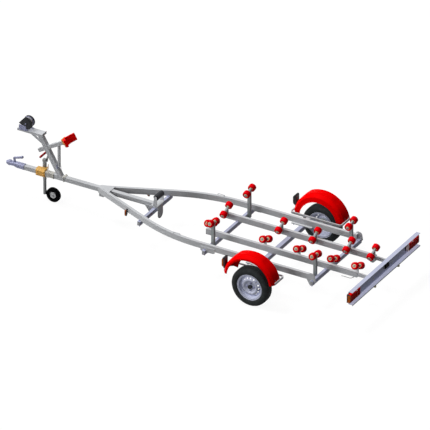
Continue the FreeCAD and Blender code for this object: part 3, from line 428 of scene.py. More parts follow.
@dataclass(frozen=True)
class TailLens(Lens):
    """A tail lamp's lens: painted light makes it dark at the bottom and brighter towards its top, where the outer end
    holds an amber field.
    """

    middle: float = 0.035
    amber: Colour = swatch(214, 78, 18)
    outboard: Pair = (0.77, 0.86)
    # Where the painted light runs from the lens's dark bottom to its painted highlight at the top.
    height: Pair = (0.44, 0.56)
    amber_height: Pair = (0.495, 0.54)

    def surface(self, bench: Bench) -> dict[str, Feed]:
        """Return the ribs under two fields of colour: painted light from bottom to top, and the amber field.

        Args:
            bench: where the nodes are built.

        Returns:
            The varying sockets and what feeds them.
        """
        under = super().surface(bench)
        high = bench.axis("Z").step(*self.height)
        outboard = (bench.axis("Y") - self.middle).maths("ABSOLUTE").step(*self.outboard)
        field = outboard * bench.axis("Z").step(*self.amber_height)
        # Painted light: the red runs from dark at the bottom to a painted highlight at the top.
        red = bench.blend(high, tinted(self.colour, 0.5), tinted(self.inner, 1.5))
        shade = bench.blend(0.35, red, under["Base Color"])
        return {**under, "Base Color": bench.blend(0.8 * field, shade, self.amber)}


@dataclass(frozen=True)
class Woven(Finish):
    """Webbing wound on a drum: a herringbone across and fine picks along it."""

    centre: Spot = (0.0, 0.0, 0.0)

    def surface(self, bench: Bench) -> dict[str, Feed]:
        """Return the weave, which follows the drum round.

        Args:
            bench: where the nodes are built.

        Returns:
            The varying sockets and what feeds them.
        """
        across = bench.axis("X") - self.centre[0]
        up = bench.axis("Z") - self.centre[2]
        turn = across.maths("ARCTAN2", up, across)
        cord = 0.5 + 0.5 * (bench.axis("Y") * 2600).sine()
        pick = 0.5 + 0.5 * (turn * 130 + 2 * cord).sine()
        share = 0.5 * cord + 0.5 * pick
        return {"Base Color": bench.blend(share, tinted(self.colour, 0.6), self.colour),
                "Normal": bench.bump(share, 0.0006)}


class Use(Enum):
    """The finishes, by what they are used for."""

    GALVANISED = Galvanised("hot_dipped_zinc", swatch(196, 198, 201), 0.55, 0.0, 0.3)
    # Painted shade: the stand is darker behind x 2.08 m and above 0.6 m; painted highlight: it is lighter above 1.04
    # m and ahead of x 2.22 m.
    STAND = Banded("stand_zinc_painted_shade_and_highlight", swatch(200, 202, 206), 0.55, 0.0, 0.3, painted_light_bands=(
        (swatch(158, 162, 196), (("X", 2.082, 2.074), ("Z", 0.56, 0.60))),
        (swatch(236, 238, 242), (("Z", 1.03, 1.05), ("X", 2.20, 2.24)))))
    # Painted highlight: the winch base is lighter behind x 2.488 m.
    WINCH = Banded("winch_base_zinc_painted_highlight", swatch(160, 163, 192), 0.5, 0.0, 0.3, painted_light_bands=(
        (swatch(214, 216, 222), (("X", 2.492, 2.484),)),))
    # Painted highlight: the lower flange, below 0.39 m, is lighter, standing in for light that the upper flange's
    # shadow keeps off it.
    BOARD = Banded("board_zinc_painted_highlight", swatch(184, 188, 210), 0.55, 0.0, 0.25, crystal=110, painted_light_bands=(
        (swatch(208, 210, 236), (("Z", 0.3935, 0.3895),)),))
    CROSS = Galvanised("bluish_dipped_zinc", swatch(176, 180, 202), 0.55, 0.0, 0.25, crystal=110)
    ZINC = Plated("bright_zinc_plate", swatch(160, 163, 192), 0.42, 0.1, 0.3, second=swatch(138, 141, 170))
    TUBE = Plated("dull_zinc_plate", swatch(158, 160, 160), 0.45, 0.1, 0.3, second=swatch(140, 142, 144))
    GOLD = Plated("yellow_zinc_plate", swatch(226, 172, 88), 0.42, 0.1, 0.3, second=swatch(206, 166, 84))
    SILVER = Finish("silver_wheel_paint", swatch(192, 196, 216), 0.4, 0.05, 0.3)
    RED_SHELL = Moulded("red_mudguard_plastic", swatch(240, 0, 2), 0.4, 0.0, 0.01, dust=0.004)
    RED_ROLLER = Moulded("red_roller_polyurethane", swatch(226, 0, 14), 0.45, 0.0, 0.02, grain=900, dust=0.005)
    RED_STOP = Moulded("red_bow_stop_rubber", swatch(250, 4, 4), 0.5, 0.0, 0.02, grain=900, dust=0.005)
    RED_GRIP = Moulded("red_grip_plastic", swatch(170, 6, 14), 0.45, 0.0, 0.03, dust=0.01)
    DULL = Galvanised("weathered_zinc", swatch(164, 172, 173), 0.6, 0.0, 0.2)
    PALE = Plated("pale_zinc_plate", swatch(206, 204, 196), 0.45, 0.0, 0.2, second=swatch(190, 188, 182))
    NYLON = Moulded("natural_nylon", swatch(214, 200, 158), 0.45, 0.0, 0.3)
    BLACK = Moulded("black_moulded_plastic", swatch(26, 27, 31), 0.42, 0.0, 0.25, grain=800, depth=0.00012)
    MATT_BLACK = Moulded("matt_black_plastic", swatch(9, 9, 11), 0.6, 0.0, 0.03, grain=800, depth=0.00012)
    HUB = Moulded("grey_hub_plastic", swatch(196, 197, 198), 0.5, 0.0, 0.25)
    PLUG = Moulded("grey_plug_plastic", swatch(172, 174, 176), 0.5, 0.0, 0.25)
    TYRE = Rubber("road_tyre_rubber", swatch(40, 43, 44), 0.7, 0.0, 0.12)
    RUBBER = Rubber("solid_black_rubber", swatch(4, 4, 5), 0.7, 0.0, 0.02)
    ROLLER_BLACK = Rubber("black_roller_rubber", swatch(44, 45, 49), 0.6, 0.0, 0.2)
    RED_LENS = Lens("red_lamp_lens", swatch(150, 0, 2), 0.3, 0.0, 0.01, inner=swatch(176, 2, 8))
    AMBER_LENS = Lens("amber_lamp_lens", swatch(176, 84, 26), 0.3, 0.0, 0.02, inner=swatch(204, 110, 40))
    # Painted highlight towards the top of the tail lenses.
    TAIL_LENS = TailLens("tail_lamp_lens", swatch(186, 4, 6), 0.3, 0.0, 0.01, inner=swatch(214, 10, 8))
    CLEAR_LENS = Lens("clear_lamp_lens", swatch(246, 214, 208), 0.3, 0.0, 0.05, inner=swatch(252, 228, 222))
    WEBBING = Woven("grey_winch_webbing", swatch(178, 178, 186), 0.8, 0.0, 0.2, centre=(2.51, 0, 1.142))


# ---------------------------------------------------------------- mesh work

def along(at: Place, axis: Place, turn: float = 0.0) -> Matrix:
    """Return the frame of a turned piece: its origin, where its own Z points, and its angle about that."""
    facing = Vector(axis).to_track_quat("Z", "Y").to_matrix().to_4x4()
    return Matrix.Translation(Vector(at)) @ facing @ Matrix.Rotation(turn, 4, "Z")


def upright(at: Place) -> Matrix:
    """Return the frame of a plate drawn in X and Z, whose thickness runs along Y."""
    return Matrix(((1, 0, 0, at[0]), (0, 0, 1, at[1]), (0, 1, 0, at[2]), (0, 0, 0, 1)))


def bent(corners: Sequence[Place], radius: float, steps: int = 6) -> list[Vector]:
    """Return a path whose inner corners are rounded.

    Args:
        corners: the path's corners.
        radius: how far from a corner its bend starts.
        steps: pieces in each bend.

    Returns:
        The path's points.
    """
    points = [Vector(corner) for corner in corners]
    path = [points[0]]
    for before, corner, after in zip(points, points[1:], points[2:]):
        start = corner + (before - corner).normalized() * radius
        end = corner + (after - corner).normalized() * radius
        for step in range(steps + 1):
            share = step / steps
            path.append(start.lerp(corner, share).lerp(corner.lerp(end, share), share))
    return path + [points[-1]]


class Stock:
    """A mesh in the making: shapes are added, then it is dressed as one piece."""

    def __init__(self, name: str) -> None:
        """Start an empty mesh for a named piece."""
        self.name = name
        self.mesh = bmesh.new()

    def rows(self, rings: Sequence[Sequence[Vector]], closed_row: bool = True, closed_ring: bool = True) -> None:
        """Join rings of points with faces.

        Args:
            rings: rings of equal length; a ring of one point is a tip.
            closed_row: whether each ring closes on itself.
            closed_ring: whether the last ring joins the first.
        """
        made = [[self.mesh.verts.new(point) for point in ring] for ring in rings]
        pairs = list(zip(made, made[1:])) + ([(made[-1], made[0])] if closed_ring else [])
        for first, second in pairs:
            count = max(len(first), len(second))
            for index in range(count if closed_row else count - 1):
                after = (index + 1) % count
                corners = [first[index % len(first)], first[after % len(first)],
                           second[after % len(second)], second[index % len(second)]]
                face = list(dict.fromkeys(corners))
                if len(face) > 2:
                    self.mesh.faces.new(face)

    def turned(self, profile: Iterable[Corner], place: Matrix, steps: int = 32) -> None:
        """Add a turned shape.

        Args:
            profile: (height, radius) corners; a radius of 0 closes the shape there.
            place: its frame, with its axis along Z.
            steps: its facets; six make a hexagon.
        """
        rings = [[place @ Vector((x, y, height)) for x, y in circle(radius, steps if radius else 1)]
                 for height, radius in profile]
        self.rows(rings, closed_ring=len(rings[0]) > 1 and len(rings[-1]) > 1)

    def plate(self, outline: Sequence[Corner], thick: float, place: Matrix, edge: float = 0.0) -> None:
        """Add a flat plate.

        Args:
            outline: its corners in its own XY plane.
            thick: how far it reaches along its own Z.
            place: its frame.
            edge: how wide its edges are broken.
        """
        low = [self.mesh.verts.new(place @ Vector((x, y, 0))) for x, y in outline]
        high = [self.mesh.verts.new(place @ Vector((x, y, thick))) for x, y in outline]
        faces = [self.mesh.faces.new(low[::-1]), self.mesh.faces.new(high)]
        for index, (first, second) in enumerate(zip(low, high)):
            after = (index + 1) % len(low)
            faces.append(self.mesh.faces.new((first, low[after], high[after], second)))
        if edge:
            edges = list(dict.fromkeys(rim for face in faces for rim in face.edges))
            bmesh.ops.bevel(self.mesh, geom=edges, offset=edge, segments=2, affect="EDGES", clamp_overlap=True)

    def rod(self, path: Sequence[Vector], radius: float, sides: int = 10) -> None:
        """Add a round rod along a path.

        Args:
            path: the points of its centre line.
            radius: its radius.
            sides: its facets.
        """
        side = Vector((0, 0, 1))
        rings = []
        for index, point in enumerate(path):
            ahead = path[min(index + 1, len(path) - 1)] - path[max(index - 1, 0)]
            ahead.normalize()
            if index == 0 and abs(ahead.dot(side)) > 0.9:
                side = Vector((1, 0, 0))
            side = (side - ahead * side.dot(ahead)).normalized()
            other = ahead.cross(side)
            rings.append([point + radius * (math.cos(math.tau * spot / sides) * side
                                            + math.sin(math.tau * spot / sides) * other) for spot in range(sides)])
        self.rows([[path[0]]] + rings + [[path[-1]]], closed_ring=False)

    def drill(self, cutters: "Stock") -> None:
        """Cut another mesh's shapes out of this one.

        Args:
            cutters: the mesh that is used up.
        """
        solids = []
        for stock in (self, cutters):
            bmesh.ops.recalc_face_normals(stock.mesh, faces=stock.mesh.faces)
            mesh = bpy.data.meshes.new(stock.name + "_blank")
            stock.mesh.to_mesh(mesh)
            stock.mesh.free()
            solids.append(bpy.data.objects.new(mesh.name, mesh))
            bpy.context.scene.collection.objects.link(solids[-1])
        blank, tool = solids
        cut = blank.modifiers.new("cut", "BOOLEAN")
        cut.object, cut.operation, cut.solver = tool, "DIFFERENCE", "EXACT"
        depsgraph = bpy.context.evaluated_depsgraph_get()
        result = bpy.data.meshes.new_from_object(blank.evaluated_get(depsgraph))
        self.mesh = bmesh.new()
        self.mesh.from_mesh(result)
        for solid in solids:
            bpy.data.objects.remove(solid)

    def bolt(self, at: Place, axis: Place, size: float = 0.0065, turn: float = 0.0) -> None:
        """Add a hexagon head on a washer.

        Args:
            at: the middle of the washer's foot.
            axis: where the head points.
            size: the radius of the thread.
            turn: the head's angle.
        """
        place = along(at, axis, turn)
        washer, head, top = size * 2.1, size * 1.62, size * 1.5
        self.turned([(0, 0), (0, washer), (size * 0.32, washer), (size * 0.36, size * 2.0), (size * 0.36, 0)],
                    place, 24)
        self.turned([(size * 0.3, 0), (size * 0.3, head), (size * 1.3, head), (top, head * 0.86), (top, 0)], place, 6)

    def nut(self, at: Place, axis: Place, size: float = 0.0065, tail: float = 0.012) -> None:
        """Add a nut on a washer, with the thread's end standing out of it.

        Args:
            at: the middle of the washer's foot.
            axis: where the thread points.
            size: the radius of the thread.
            tail: how far the thread stands out of the nut.
        """
        self.bolt(at, axis, size)
        foot, turns = size * 1.4, max(2, int(tail / THREAD_PITCH))
        thread = [(foot, 0)]
        for step in range(turns):
            thread += [(foot + tail * step / turns, size * 0.9), (foot + tail * (step + 0.5) / turns, size)]
        thread += [(foot + tail, size * 0.8), (foot + tail, 0)]
        self.turned(thread, along(at, axis), 12)

    def dress(self, body: str, use: Use, slot: str, replaces: Sequence[str] = (),
              crease: float = 35) -> None:
        """Finish the mesh as one piece that rides on a body.

        Args:
            body: the body that it moves with.
            use: its finish.
            slot: the record's slot that it belongs to; not used.
            replaces: nodes of the frame that it stands for.
            crease: the angle in degrees above which an edge stays sharp.
        """
        bmesh.ops.recalc_face_normals(self.mesh, faces=self.mesh.faces)
        for face in self.mesh.faces:
            face.smooth = True
        for edge in self.mesh.edges:
            if len(edge.link_faces) == 2 and edge.calc_face_angle(0) > math.radians(crease):
                edge.smooth = False
        mesh = bpy.data.meshes.new(self.name)
        self.mesh.to_mesh(mesh)
        self.mesh.free()
        mesh.materials.append(material_of(use.value))
        piece = bpy.data.objects.new(self.name, mesh)
        bpy.context.scene.collection.objects.link(piece)
        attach(piece, body)
        if replaces:
            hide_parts(*replaces)
        log.info("%s: %d faces on %s", self.name, len(mesh.polygons), body)


def mm(*rows: Sequence[float]) -> list[tuple[float, ...]]:
    """Return rows of lengths in millimetres as rows in metres."""
    return [tuple(length / 1000 for length in row) for row in rows]


def shifted(corners: Sequence[Corner], first: float, second: float = 0.0) -> list[Corner]:
    """Return corners moved along their first and their second axis."""
    return [(one + first, two + second) for one, two in corners]


def circle(radius: float, steps: int) -> list[Corner]:
    """Return evenly spaced points of a circle round the origin."""
    return [(radius * math.cos(math.tau * step / steps), radius * math.sin(math.tau * step / steps))
            for step in range(steps)]


def mirrored(half: Sequence[Corner]) -> list[Corner]:
    """Return the other half of a turned profile, in the order that leads up to the first."""
    return [(-height, radius) for height, radius in reversed(half)]


def box_outline(wide: float, high: float) -> list[Corner]:
    """Return a rectangle's corners round its middle."""
    return [(-wide / 2, -high / 2), (wide / 2, -high / 2), (wide / 2, high / 2), (-wide / 2, high / 2)]


# ---------------------------------------------------------------- the frame's own pieces

@dataclass
class FrameFinish:
    """The finish of every node of the frame."""

    by_slot: ClassVar[dict[str, Use]] = {
        "galvanised_steel": Use.GALVANISED, "zinc_plated_steel": Use.ZINC, "yellow_zinc": Use.GOLD,
        "tyre_rubber": Use.TYRE, "black_rubber": Use.RUBBER, "wheel_silver": Use.SILVER,
        "red_plastic": Use.RED_SHELL, "red_polyurethane": Use.RED_ROLLER, "black_plastic": Use.BLACK,
        "webbing": Use.WEBBING, "red_lens": Use.RED_LENS, "amber_lens": Use.AMBER_LENS}
    named: ClassVar[dict[str, Use]] = {
        "keel_roller": Use.ROLLER_BLACK, "winch_post": Use.STAND, "winch_arm": Use.STAND,
        "winch_frame": Use.WINCH, "light_board": Use.BOARD, "axle_beam": Use.CROSS,
        **dict.fromkeys(("jockey_crank", "jockey_outer_tube", "jockey_inner_tube", "jockey_fork"), Use.TUBE),
        **dict.fromkeys(CROSSMEMBERS, Use.CROSS), **dict.fromkeys(("roller_stems", "tall_posts"), Use.DULL)}

    def use_of(self, node: str, slot: str) -> Use:
        """Return a node's finish, by its name or else by its slot in the record."""
        return self.named.get(node) or self.by_slot[slot]

    def dress(self) -> None:
        """Give every node its finish."""
        slots = {row["node"]: row["material_slot"] for row in frame["record"]["subparts"]}
        for name, node in frame["nodes"].items():
            use = self.use_of(name, slots[name])
            node.data.materials.clear()
            node.data.materials.append(material_of(use.value))
            log.info("%s: %s", name, use.value.name)


# ---------------------------------------------------------------- road wheels

@dataclass
class RoadWheel:
    """A road wheel: its tyre with its tread, its rim and disc, and what is fitted to them."""

    side: str
    half_width: float = 0.076
    crown: float = 0.2735
    groove: float = 0.0065
    pitches: int = 60
    slant: float = 0.07
    shoulder: float = 0.064
    wall_slant: float = 0.059
    hub_face: float = 0.030
    bolts: int = 4
    bolt_circle: float = 0.050
    vents: int = 16
    vent_circle: float = 0.1225
    vent_height: float = 0.0340
    vent_radius: float = 0.0112
    vent_reach: float = 0.020
    vent_axis: Spot = (0.70, 0, 0.72)
    valve: Spot = (0.141, 0, 0.036)

    def frame(self) -> Matrix:
        """Return the wheel's frame, with Z pointing outboard."""
        return along(JOINTS["wheel_spin_" + self.side]["pos_m"], (0, SIDES[self.side], 0))

    def section(self) -> list[tuple[float, float, float, float]]:
        """Return the tyre's section from the inner bead to the outer one.

        Returns:
            Rows of place across, radius, and how deep the wide and the narrow cuts go there.
        """
        deep = self.groove
        # Across, below the crown, and the shares of the groove's depth that the wide and narrow cuts take.
        tread = [(across, self.crown - below, wide * deep, narrow * deep) for across, below, wide, narrow in (
            (0.0030, 0, 0, 0), (0.0095, 0, 0, 0), (0.0108, deep, 0, 0), (0.0165, deep, 0, 0),
            (0.0178, 0.0003, 0, 0.7), (0.0250, 0.0005, 0, 0.7), (0.0330, 0.0008, 0, 0.7),
            (0.0343, deep, 0, 0), (0.0400, deep, 0, 0), (0.0413, 0.0013, 0.8, 0), (0.0480, 0.0022, 0.8, 0),
            (0.0535, 0.0046, 0.75, 0), (0.0585, 0.0086, 0.6, 0), (0.0620, 0.0140, 0.35, 0), (0.0655, 0.0200, 0, 0))]
        wall = [(across, radius, 0, 0) for across, radius in mm(
            (69, 246.5), (70.6, 245), (71.6, 241), (73.8, 235), (75.4, 227), (76, 219.5), (75.5, 212.5),
            (74.4, 207.2), (75, 205.8), (73.8, 202.5), (71.6, 196.8), (68.4, 191.8), (64, 188), (57.3, 184.2),
            (56.7, 166))]
        half = tread + wall
        return [(-across, *rest) for across, *rest in reversed(half)] + half

    def tyre(self) -> None:
        """Build the tyre with its ribs, cuts and side walls."""
        stock = Stock("road_tyre_" + self.side)
        place, section = self.frame(), self.section()
        # Place in the pitch, and whether the wide and the narrow cut are open there.
        cuts = ((0.0, 0, 0), (0.03, 1, 0), (0.16, 1, 0), (0.19, 0, 0), (0.5, 0, 0), (0.53, 0, 1), (0.61, 0, 1),
                (0.64, 0, 0))
        rings = []
        for pitch in range(self.pitches):
            for share, wide, narrow in cuts:
                ring = []
                for across, radius, wide_deep, narrow_deep in section:
                    flat = abs(across) < self.shoulder
                    slant = self.slant * abs(across) / self.half_width if flat else self.wall_slant
                    angle = math.tau * (pitch + share) / self.pitches + slant
                    reach = radius - wide * wide_deep - narrow * narrow_deep
                    ring.append(place @ Vector((reach * math.cos(angle), reach * math.sin(angle), across)))
                rings.append(ring)
        stock.rows(rings, closed_row=False)
        stock.dress("wheel_" + self.side, Use.TYRE, "tyre_rubber", ["tyre_" + self.side], 28)

    def rim(self) -> None:
        """Build the rim: a barrel with a rolled flange, and a pressed disc with a ring of vents."""
        place = self.frame()
        rim, disc, vents = (Stock(name + self.side) for name in ("wheel_rim_", "wheel_disc_", "wheel_vents_"))
        flange = mm((60, 161.1), (61.5, 166), (61.5, 180.5), (64, 182.2), (63.2, 183.8), (60, 183.8), (57.2, 181.5))
        barrel = mm((57.2, 165.1), (34, 165.1), (21, 150), (-25, 150), (-35.5, 165.1), (-57.2, 165.1))
        rim.turned([*mm((-36, 161.1), (-26, 146), (22, 146), (33, 161.1)), *flange, *barrel, *mirrored(flange)],
                   place, 96)
        disc.turned(mm((30, 26.2), (30, 60), (31.5, 64.5), (45, 79), (49.5, 84), (52, 90), (52.5, 96), (51.5, 103),
                       (48, 108.5), (24, 132.5), (16.5, 138.5), (13, 146.2), (9, 146.2), (12.5, 137), (20, 130.5),
                       (44, 106.5), (47, 102), (48.5, 96), (48, 90.5), (46, 86.5), (41.5, 81.5), (27.8, 66.5),
                       (26.2, 62), (26.2, 26.2)), place, 128)
        hole, reach = along((self.vent_circle, 0, self.vent_height), self.vent_axis), self.vent_reach
        for spot in range(self.vents):
            turn = place @ Matrix.Rotation(math.tau * spot / self.vents, 4, "Z")
            vents.turned([(-reach, 0), (-reach, self.vent_radius), (reach, self.vent_radius), (reach, 0)],
                         turn @ hole, 20)
        disc.drill(vents)
        hub = Stock("wheel_hub_" + self.side)
        hub.turned(mm((-60, 23.5), (-60, 36), (8, 40), (16, 62), (26.2, 62), (26.2, 24), (26.2, 23.5)), place, 48)
        body = "wheel_" + self.side
        rim.dress(body, Use.SILVER, "wheel_silver", ["rim_" + self.side], 40)
        disc.dress(body, Use.SILVER, "wheel_silver", crease=40)
        hub.dress(body, Use.DULL, "wheel_silver")

    def fittings(self) -> None:
        """Build the wheel bolts, the dust cap and the valve."""
        place, body = self.frame(), "wheel_" + self.side
        bolts = Stock("wheel_bolts_" + self.side)
        outboard = place.to_3x3() @ Vector((0, 0, 1))
        for x, y in circle(self.bolt_circle, self.bolts):
            bolts.bolt(place @ Vector((x, y, self.hub_face + 0.005)), outboard, 0.0078, 0.3)
        bolts.dress(body, Use.ZINC, "zinc_plated_steel")
        cap = Stock("dust_cap_" + self.side)
        cap.turned(shifted(mm((4, 0), (4, 28.5), (22, 28.5), (23.5, 27.5), (29, 26.8), (31, 24), (31, 16),
                              (29, 14), (29, 0)), self.hub_face), place, 40)
        cap.dress(body, Use.BLACK, "black_plastic")
        valve = Stock("tyre_valve_" + self.side)
        foot = place @ Vector(self.valve)
        lean = place.to_3x3() @ Vector((-0.35, 0, 1))
        valve.turned(mm((0, 0), (0, 8.5), (3, 8.5), (6, 5), (26, 4.2), (27, 5), (36, 5), (37, 4), (37, 0)),
                     along(foot, lean), 16)
        valve.dress(body, Use.RUBBER, "black_rubber")

    def build(self) -> None:
        """Build the whole wheel."""
        self.tyre()
        self.rim()
        self.fittings()


@dataclass
class Mudguard:
    """A mudguard's moulded shell: sloping edges, rolled lips and a raised panel over its crown."""

    side: str
    middle: Corner = (-1.375, 0.360)
    inner: float = 0.800
    width: float = 0.225
    slope: float = 0.040
    crown: float = 0.378
    edge: float = 0.347
    inner_skirt: float = 0.277
    outer_skirt: float = 0.319
    sheet: float = 0.003
    sweep: float = 82.5
    panel: float = 39.0
    panel_turn: float = 2.0
    panel_fade: float = 14.0
    raised: float = 0.012
    rivet_angle: float = 74.0
    rivet_rows: Pair = (0.075, 0.150)
    steps: int = 150
    outer_points: int = 17

    def section(self, lift: float) -> list[Corner]:
        """Return the shell's section where its panel is lifted.

        Args:
            lift: how far the panel stands out here.

        Returns:
            (place across, radius) corners, outside first and then back along the inside.
        """
        wide, sheet = self.width, self.sheet
        step = self.slope + 0.012
        outside = [(-0.002, self.inner_skirt), (0.0, self.inner_skirt + 0.005), (0.0, self.edge - 0.006),
                   (0.002, self.edge), (self.slope - 0.004, self.crown - 0.002), (self.slope + 0.004, self.crown),
                   (step, self.crown), (step + 0.007, self.crown + lift), (wide / 2, self.crown + lift + 0.001),
                   (wide - step - 0.007, self.crown + lift), (wide - step, self.crown),
                   (wide - self.slope - 0.004, self.crown), (wide - self.slope + 0.004, self.crown - 0.002),
                   (wide - 0.002, self.edge), (wide, self.edge - 0.006), (wide, self.outer_skirt + 0.005),
                   (wide - 0.0005, self.outer_skirt)]
        middle = wide / 2
        inside = [(across + (sheet if across < middle else -sheet), min(radius, self.crown + lift) - sheet)
                  for across, radius in outside[1:-1] if across != middle]
        ends = [(outside[0][0] + sheet, self.inner_skirt), (outside[-1][0] - sheet, self.outer_skirt)]
        return outside + [ends[1]] + inside[::-1] + [ends[0]]

    def build(self) -> None:
        """Build the shell and the rivets that hold it."""
        side = SIDES[self.side]
        x, z = self.middle
        shell = Stock("mudguard_shell_" + self.side)
        rings = []
        for step in range(self.steps + 1):
            angle = -self.sweep + 2 * self.sweep * step / self.steps
            reach = min(1.0, max(0.0, (self.panel - abs(angle - self.panel_turn)) / self.panel_fade))
            lift = self.raised * reach * reach * (3 - 2 * reach)
            turn = math.radians(angle)
            rings.append([Vector((x + radius * math.sin(turn), side * (self.inner + across),
                                  z + radius * math.cos(turn))) for across, radius in self.section(lift)])
        shell.rows(rings, closed_ring=False)
        for ring in (rings[0], rings[-1]):
            spots = [shell.mesh.verts.new(point) for point in ring]
            outer, inner = spots[:self.outer_points], spots[self.outer_points:][::-1]
            for index in range(self.outer_points - 1):
                near = min(index, len(inner) - 1)
                far = min(index + 1, len(inner) - 1)
                face = list(dict.fromkeys([outer[index], outer[index + 1], inner[far], inner[near]]))
                if len(face) > 2:
                    shell.mesh.faces.new(face)
        bmesh.ops.remove_doubles(shell.mesh, verts=shell.mesh.verts, dist=0.00001)
        shell.dress("chassis", Use.RED_SHELL, "red_plastic", ["mudguard_" + self.side], 24)
        rivets = Stock("mudguard_rivets_" + self.side)
        for angle in (-self.rivet_angle, self.rivet_angle):
            turn = math.radians(angle)
            out = Vector((math.sin(turn), 0, math.cos(turn)))
            for across in self.rivet_rows:
                foot = Vector((x, side * (self.inner + across), z)) + out * self.crown
                rivets.bolt(foot, out, 0.0045)
        rivets.dress("chassis", Use.BLACK, "black_plastic")


# ---------------------------------------------------------------- boat rollers

@dataclass
class BoatRollers:
    """The pairs of red boat rollers, their nylon bushes and the nuts on their axles."""

    radius: float = 0.050
    width: float = 0.070
    bore: float = 0.0102
    hub: float = 0.027
    sunk: float = 0.007
    steps: int = 44

    def gap(self, name: str, axis: Vector) -> float:
        """Return how far apart a pair's two rollers are, middle to middle.

        Args:
            name: the pair's node.
            axis: the pair's axle.

        Returns:
            The distance along the axle.
        """
        low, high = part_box(name)
        lean = abs(axis.z)
        return ((high.y - low.y) - 2 * self.radius * lean) / abs(axis.y) - self.width

    def profile(self, middle: float) -> list[Corner]:
        """Return the section of one roller.

        Args:
            middle: its place along the axle.

        Returns:
            Its (height, radius) corners.
        """
        half, edge = self.width / 2, self.radius
        face = [(half - self.sunk, self.bore), (half - self.sunk, self.hub - 0.001),
                (half - 0.002, self.hub + 0.002), (half, self.hub + 0.0045)]
        tread = shifted(mm((0, -11.5), (-1.5, -7.5), (-5, -3.5), (-10, -1.2), (-16, -0.6), (-17.5, -1.6),
                           (-19.5, -1.6), (-21, -0.4)), half, edge)
        side = [*face, *tread, (0.0035, edge)]
        return shifted(side + mirrored(side), middle)

    def pair(self, joint: dict) -> None:
        """Build one pair of rollers with its bushes.

        Args:
            joint: the joint that the pair turns on.
        """
        name = joint["name"].removeprefix("spin_")
        node, body = "rollers_" + name, "pair_" + name
        axis = Vector(joint["axis"])
        place = along(joint["pos_m"], axis)
        half_gap = self.gap(node, axis) / 2
        rollers, bushes = Stock("boat_rollers_" + name), Stock("roller_bushes_" + name)
        for middle in (-half_gap, half_gap):
            rollers.turned(self.profile(middle), place, self.steps)
            for end in ENDS:
                face = self.width / 2 - self.sunk
                ring = [(face - 0.001, self.bore), (face - 0.001, self.hub - 0.002),
                        (face + 0.0015, self.hub - 0.002), (face + 0.0022, 0.0205), (face + 0.0042, 0.0195),
                        (face + 0.0045, self.bore)]
                bushes.turned([(middle + end * height, radius) for height, radius in ring], place, 28)
        rollers.dress(body, Use.RED_ROLLER, "red_polyurethane", [node])
        bushes.dress(body, Use.NYLON, "black_plastic")

    def nuts(self) -> None:
        """Build the nuts at the ends of every axle."""
        stock = Stock("roller_axle_nuts")
        for joint in self.joints():
            axis = Vector(joint["axis"])
            reach = self.gap("rollers_" + joint["name"].removeprefix("spin_"), axis) / 2 + self.width / 2
            for end in ENDS:
                foot = Vector(joint["pos_m"]) + axis * end * (reach - 0.002)
                stock.turned(mm((0, 7.2), (0, 13.5), (1.2, 13.5), (1.3, 7.2)), along(foot, axis * end), 24)
                stock.turned(mm((1.2, 7.2), (1.2, 10.8), (7, 10.8), (8.2, 9.5), (8.2, 7.2)),
                             along(foot, axis * end, 0.2), 6)
        stock.dress("chassis", Use.ZINC, "zinc_plated_steel")

    @staticmethod
    def joints() -> list[dict]:
        """Return the joints of the pairs."""
        return [joint for name, joint in JOINTS.items() if name.startswith("spin_")]

    def build(self) -> None:
        """Build every pair."""
        for joint in self.joints():
            self.pair(joint)
        self.nuts()


# ---------------------------------------------------------------- fixings of the frame

